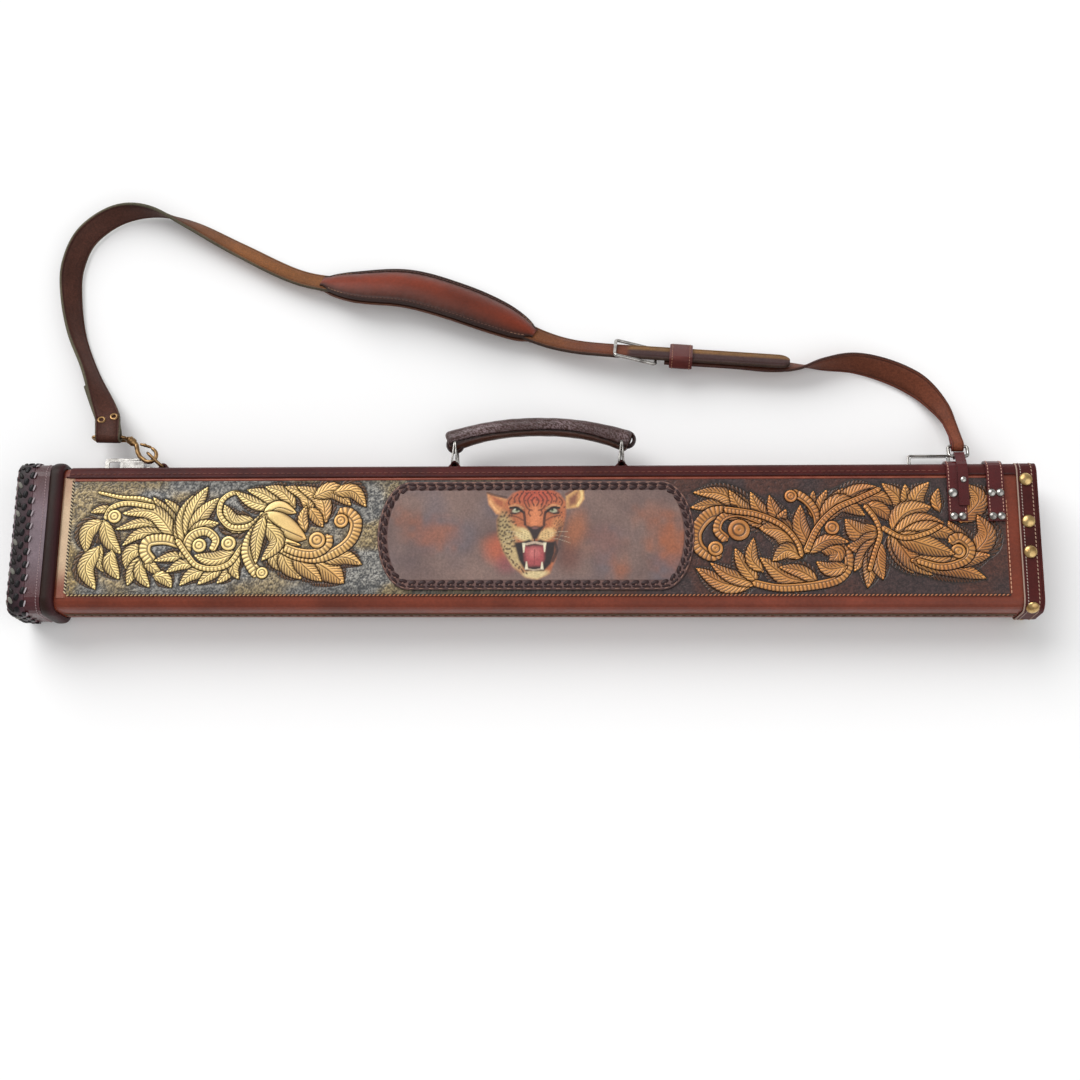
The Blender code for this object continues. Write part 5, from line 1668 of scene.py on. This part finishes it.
def build_pad(route):
    """A long padded lens on the strap's outer face, with its stitched rim and its backing."""
    first, last = (nearest([station[0] for station in route], Vector(place)) for place in PAD_ENDS)
    columns, count = 26, 2 * (last - first)
    rings, shades, backs, outs, lines = [], [], [], [], ([], [])
    for i in range(count + 1):
        share = i / count
        at = first + (last - first) * share
        low = min(int(at), last - 1)
        pair = [strap_frame(route, route[k][0]) for k in (low, low + 1)]
        centre, _, across, out = [a.lerp(b, at - low) for a, b in zip(*pair)]
        width = PAD_WIDTH * max(0.1, 1 - abs(2 * share - 1) ** 3.2) ** 0.5
        bulge = PAD_RISE * (1 - abs(2 * share - 1) ** 6)
        top, back = [], []
        for j in range(columns + 1):
            t = -1 + 2 * j / columns
            dome, pucker, seam = pad_point(t, count * share * 1.9)
            height = 3.0 + bulge * dome - seam + pucker
            top.append((centre + t * width / 2 * across + height * out) * MM)
            back.append((centre + t * width * 0.48 * across - 3.4 * out) * MM)
            # lighter toward the crown of the dome and darker down its sides: painted light and shade, varied
            # a little along the pad; darker still at the rim outside the seams and in the seams
            rub_and_painted_light = 0.8 + 0.2 * math.sin(7 * share + 2.1 * t)
            shade = shade_mix(tone(70, 34, 24), tone(128, 50, 28), rub_and_painted_light * dome**1.2)
            shades.append(shade_mix(shade, tone(52, 30, 24), 1.0 if abs(t) > 0.8 else 0.9 * seam))
        # one closed ring per station: over the top, round the edge and back under it
        under = [p.lerp(q, 0.42) - 0.6 * MM * out for p, q in zip(top, back)]
        rings.append(top + under[::-1])
        shades += [tone(52, 32, 28)] * (columns + 1)
        backs.append([p + 0.9 * MM * out for p in back] + [p - 0.9 * MM * out for p in back[::-1]])
        outs.append(out)
        for line, side in zip(lines, (0.44, -0.44)):
            line.append((centre + side * width * across + 2.7 * out) * MM)
    pad = Soup()
    pad.rings(rings, CHROME)
    pad.tones = shades
    made = pad.make("padded_shoulder_lens", "pad", "strap", "strap_leather", ("shoulder_pad",), 75, 0.3 * MM)
    build_pad_stitches(lines, outs)
    backing = Soup()
    backing.rings(backs, tone(96, 60, 46))
    backing.make("pad_lining_leather", "pad", "strap", "strap_leather", ("pad_backing",), 75, 0.1 * MM)


def build_pad_stitches(lines, outs):
    """A row of stitches inside each edge of the pad, paler toward its ends."""
    stitches = Soup()
    for line in lines:
        spots = resample(line[3:-3], 3.4 * MM)
        for k, (point, along) in enumerate(spots):
            pale = abs(k / len(spots) - 0.5) > 0.42
            shade = tone(136, 100, 78) if pale else tone(92, 60, 50)
            out = outs[nearest(line, point)]
            stitches.bead(point, along, out, 2.5 * MM, 0.8 * MM, 0.4 * MM, shade)
    stitches.make("pad_stitches", "thread", "strap", "strap_leather")


def build_strap_fittings(route):
    centre, along, across, out = strap_frame(route, Vector((98, 177, 16)))
    lean = 18 * along - 3.6 * out
    ends = (centre - lean, centre + lean)
    link_piece("slide_buckle", "strap_buckle", "strap", "steel", "nickel", ends, across, 14.2)
    build_keeper(route)
    centre, along, across, out = strap_frame(stations_of(LONG_ROUTE, 3), Vector((-369, 118, 20)))
    for k, shift in enumerate((-5.5, 5.5)):
        eyelet = Soup()
        place = (centre + shift * across + 1.95 * out) * MM
        path = oval(place, 2.7 * MM * along, 2.7 * MM * across, 24)
        eyelet.tube(path, 1.15 * MM, tone(200, 170, 110), 10, True, 0.8, out)
        node = f"strap_eyelet_{k + 1}"
        eyelet.make(f"brass_eyelet_{k + 1}", "antique", "strap", "brass", (node,))


def build_keeper(route):
    """A rounded leather loop round both straps."""
    centre, along, across, out = strap_frame(route, Vector((138, 173.7, 16)))
    centre = centre - 1.6 * out
    half = ((10, 0.1), (10, 1.2), (9.4, 1.6), (5, 1.75))
    steps = [(-reach, grow) for reach, grow in half] + [(0, 1.8)] + list(half[::-1])
    rings = []
    for reach, grow in steps:
        middle = centre + reach * along
        path = loop_path(middle, across, out, 12.6 + grow, 4.4 + grow, 2.6 + grow * 0.5, 5)
        rings.append(mm(*path))
    keeper = Soup()
    keeper.rings(rings, tone(92, 40, 36), closed=True)
    thread = tone(170, 120, 96)
    for reach in (-7.6, 7.6):
        path = mm(*loop_path(centre + reach * along, across, out, 14.4, 6.2, 3.4, 5))
        for point, ahead in resample(path, 2.6 * MM, True):
            normal = (point - centre * MM).normalized()
            keeper.bead(point, ahead, normal, 1.8 * MM, 0.7 * MM, 0.3 * MM, thread)
    keeper.make("keeper_loop", "lace", "keeper", "burgundy_leather", ("strap_keeper",))


def link_piece(name, node, body, finish, slot, bars, along, half_length, wire=1.45):
    """A rounded wire link whose two long sides pass through the bars."""
    centre = (bars[0] + bars[1]) / 2 * MM
    across = (bars[1] - bars[0]).normalized()
    along = (along - along.dot(across) * across).normalized()
    reach = (bars[1] - bars[0]).length / 2 * MM
    sizes = (reach, half_length * MM, 2.5 * MM, wire * MM)
    ring_piece(name, node, body, finish, slot, centre, across, along, *sizes)


# --- snap hook, rings and zip -----------------------------------------------------------------

HOOK_REACH = 6.2
HOOK_CENTRE = 24
BRASS_TONE = tone(180, 150, 100)
ZIP_Y = 72
TOOTH_PITCH = 2.4
ZIP_STEEL = tone(190, 188, 184)


def build_hook():
    axis = (EYE_RIGHT - EYE_LEFT).normalized()
    bronze = ("antique", "antique_brass")
    ends = (EYE_LEFT, EYE_LEFT - 9.5 * UP)
    link_piece("swivel_link_wire", "swivel_link", "case", *bronze, ends, axis, 14.5)
    foot, tip = Vector((-312, 67.6, 24)), Vector((-326.8, 81.1, 24))
    sizes = ((tip - foot).length / 2 * MM, 9.5 * MM, 4 * MM, 1.3 * MM)
    middle, across = (foot + tip) / 2 * MM, (tip - foot).normalized()
    ring_piece("case_d_ring", "d_ring", "d_ring", *bronze, middle, across, UP, *sizes)
    start = EYE_LEFT - 4.75 * UP + 16.6 * axis
    along = (Vector((-324, 79, start.z)) - start).normalized()
    side = along.cross(UP)
    begin = start + 0.6 * along
    build_snap_hook(begin, along, side)
    build_gate(begin, along, side)
    ends = (Vector((EYE_RIGHT.x, 70.6, 44)), EYE_RIGHT)
    link_piece("strap_end_ring", "strap_ring", "case", "steel", "nickel", ends, EAST, 8)


def build_snap_hook(begin, along, side):
    """A turned swivel barrel, then the shank and the round hook."""
    hook = Soup()
    barrel = ((0, 3.0), (0.4, 3.6), (1.6, 3.6), (1.9, 3.2), (2.6, 3.2))
    barrel += ((2.9, 3.6), (5.0, 3.6), (5.6, 3.4), (6.4, 2.5), (8.6, 2.2))
    path = mm(*[begin + reach * along for reach, _ in barrel])
    hook.tube(path, [radius * MM for _, radius in barrel], BRASS_TONE, 20)
    shank = ((8.4, 0, 2.2), (10.8, 1.8, 2.1), (14, 4.3, 2.1), (18.5, 6.2, 2.0))
    path = [begin + reach * along + bow * side for reach, bow, _ in shank]
    radii = [radius for _, _, radius in shank]
    centre = begin + HOOK_CENTRE * along
    for k in range(17):
        turn = math.radians(90 - 11.25 * k)
        path.append(centre + HOOK_REACH * (math.cos(turn) * along + math.sin(turn) * side))
        radii.append(2.0 - 0.025 * k)
    path.append(centre - HOOK_REACH * side - 2 * along)
    radii.append(1.5)
    hook.tube(mm(*path), [radius * MM for radius in radii], BRASS_TONE, 14, up=UP)
    hook.make("cast_snap_hook", "antique", "hook", "antique_brass", ("snap_hook",))


def build_gate(begin, along, side):
    gate = Soup()
    centre = begin + HOOK_CENTRE * along
    foot = begin + 11.5 * along - 3.0 * side
    tip = centre - HOOK_REACH * side - 4.2 * along
    gate.tube(mm(foot, (foot + tip) / 2, tip), 1.3 * MM, BRASS_TONE, 12, up=UP)
    knob = (foot * 0.55 + tip * 0.45 + UP) * MM
    dome_piece(gate, knob, UP, 1.7 * MM, 1.6 * MM, BRASS_TONE, 14, 5)
    gate.make("sprung_gate", "antique", "gate", "antique_brass", ("hook_gate",))


def rounded_box(x0, x1, y0, y1, radius):
    """(x, y) round a rectangle with round corners."""
    centre, half_x, half_y = Vector(((x0 + x1) / 2, (y0 + y1) / 2, 0)), (x1 - x0) / 2, (y1 - y0) / 2
    return loop_path(centre, EAST, NORTH, half_x, half_y, radius, 5)


def build_zip():
    teeth = Soup()
    for k in range(int((382 + 348) / TOOTH_PITCH)):
        x = -348 + TOOTH_PITCH * k
        for y, shift in ((70.9, 0), (72.4, 1.2)):
            place = Vector((x + shift, y, 2.2)) * MM
            teeth.bead(place, NORTH, UP, 1.9 * MM, 1.3 * MM, 0.75 * MM, ZIP_STEEL, 6, 3)
    teeth.make("zip_teeth_row", "steel", "case", "nickel", ("zip_teeth",))
    build_slider("left", -335)
    build_slider("right", 368)
    build_left_pull()
    build_right_pull()


def build_left_pull():
    """A slotted plate with two raised lines and its eye."""
    pull = Soup()
    outer, slot = rounded_box(-371, -336.5, 69.7, 83.3, 2.5), rounded_box(-367.5, -357.5, 72.6, 80.4, 1.2)
    low, high = 6.15 * UP, 7.65 * UP
    edges = ((outer, low), (outer, high), (slot, high), (slot, low))
    pull.rings([mm(*[p + lift for p in line]) for line, lift in edges], ZIP_STEEL, closed=True)
    for y in (71.3, 81.7):
        pull.tube(mm((-355, y, 7.7), (-338.5, y, 7.7)), 0.35 * MM, ZIP_STEEL, 6, up=UP)
    loop(pull, (-335.2, 72, 6.9), 2.6, 2.4, 1.6, 0.6, 8, 4)
    pull.make("zip_pull_plate_left", "steel", "pull_left", "nickel", ("zip_pull_left",))


def build_right_pull():
    """A wire frame with a thin inner bead."""
    pull = Soup()
    loop(pull, (350.5, 76.5, 6.9), 17.5, 6, 2.2, 1.0, 12, 6)
    loop(pull, (350.5, 76.5, 7.3), 15.6, 4.2, 1.2, 0.4, 8, 4)
    pull.make("zip_pull_frame_right", "steel", "pull_right", "nickel", ("zip_pull_right",))


def loop(soup, centre, half_x, half_y, radius, wire, sides, steps):
    """A flat rounded wire loop, in millimetres."""
    path = mm(*loop_path(Vector(centre), EAST, NORTH, half_x, half_y, radius, steps))
    soup.tube(path, wire * MM, ZIP_STEEL, sides, True, up=UP)


def build_slider(side, x):
    slider = Soup()
    upper = ((-6, 3), (-2, 3.6), (4, 4.6), (6, 3))
    outline = upper + ((6.3, 0),) + tuple((dx, -dy) for dx, dy in upper[::-1]) + ((-6.3, 0),)
    rings = []
    for z, grow in ((3.5, 0.9), (3.8, 1.0), (5.2, 1.0), (5.7, 0.88)):
        rings.append(mm(*[(x + dx * grow, ZIP_Y - dy * grow, z) for dx, dy in outline]))
    slider.rings(rings, ZIP_STEEL)
    arch = [(x - 4 + 8 * t, ZIP_Y, 5.5 + 2.9 * math.sin(math.pi * t)) for t in np.linspace(0, 1, 11)]
    slider.tube(mm(*arch), 0.85 * MM, ZIP_STEEL, 10, up=UP)
    slider.make(f"zip_slider_body_{side}", "steel", f"slider_{side}", "nickel", (f"zip_slider_{side}",))


# --- CAD pieces that keep their shape ---------------------------------------------------------

KEPT = {
    "mahogany": ("leather_cover", "back_pocket"),
    "burgundy": ("mouth_plate", "top_gusset", "end_band", "end_face", "hook_tab")
    + ("handle_tab_left", "handle_tab_right"),
    "tab": ("rivet_tab_1", "rivet_tab_2", "strap_anchor"),
    "cap": ("cap_wall", "cap_end"),
    "lining": ("cue_insert", "cap_lining"),
    "fibre": ("shell_core",),
    "wood": ("end_plug",),
    "tape": ("zip_tape",),
}


def finish_kept():
    for finish, nodes in KEPT.items():
        for node in nodes:
            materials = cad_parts[node].data.materials
            materials.clear()
            materials.append(M[finish])


set_camera()
set_stage()
finish_kept()
build_front()
build_cap()
build_closed_end()
build_handle()
build_straps()
build_hook()
build_zip()
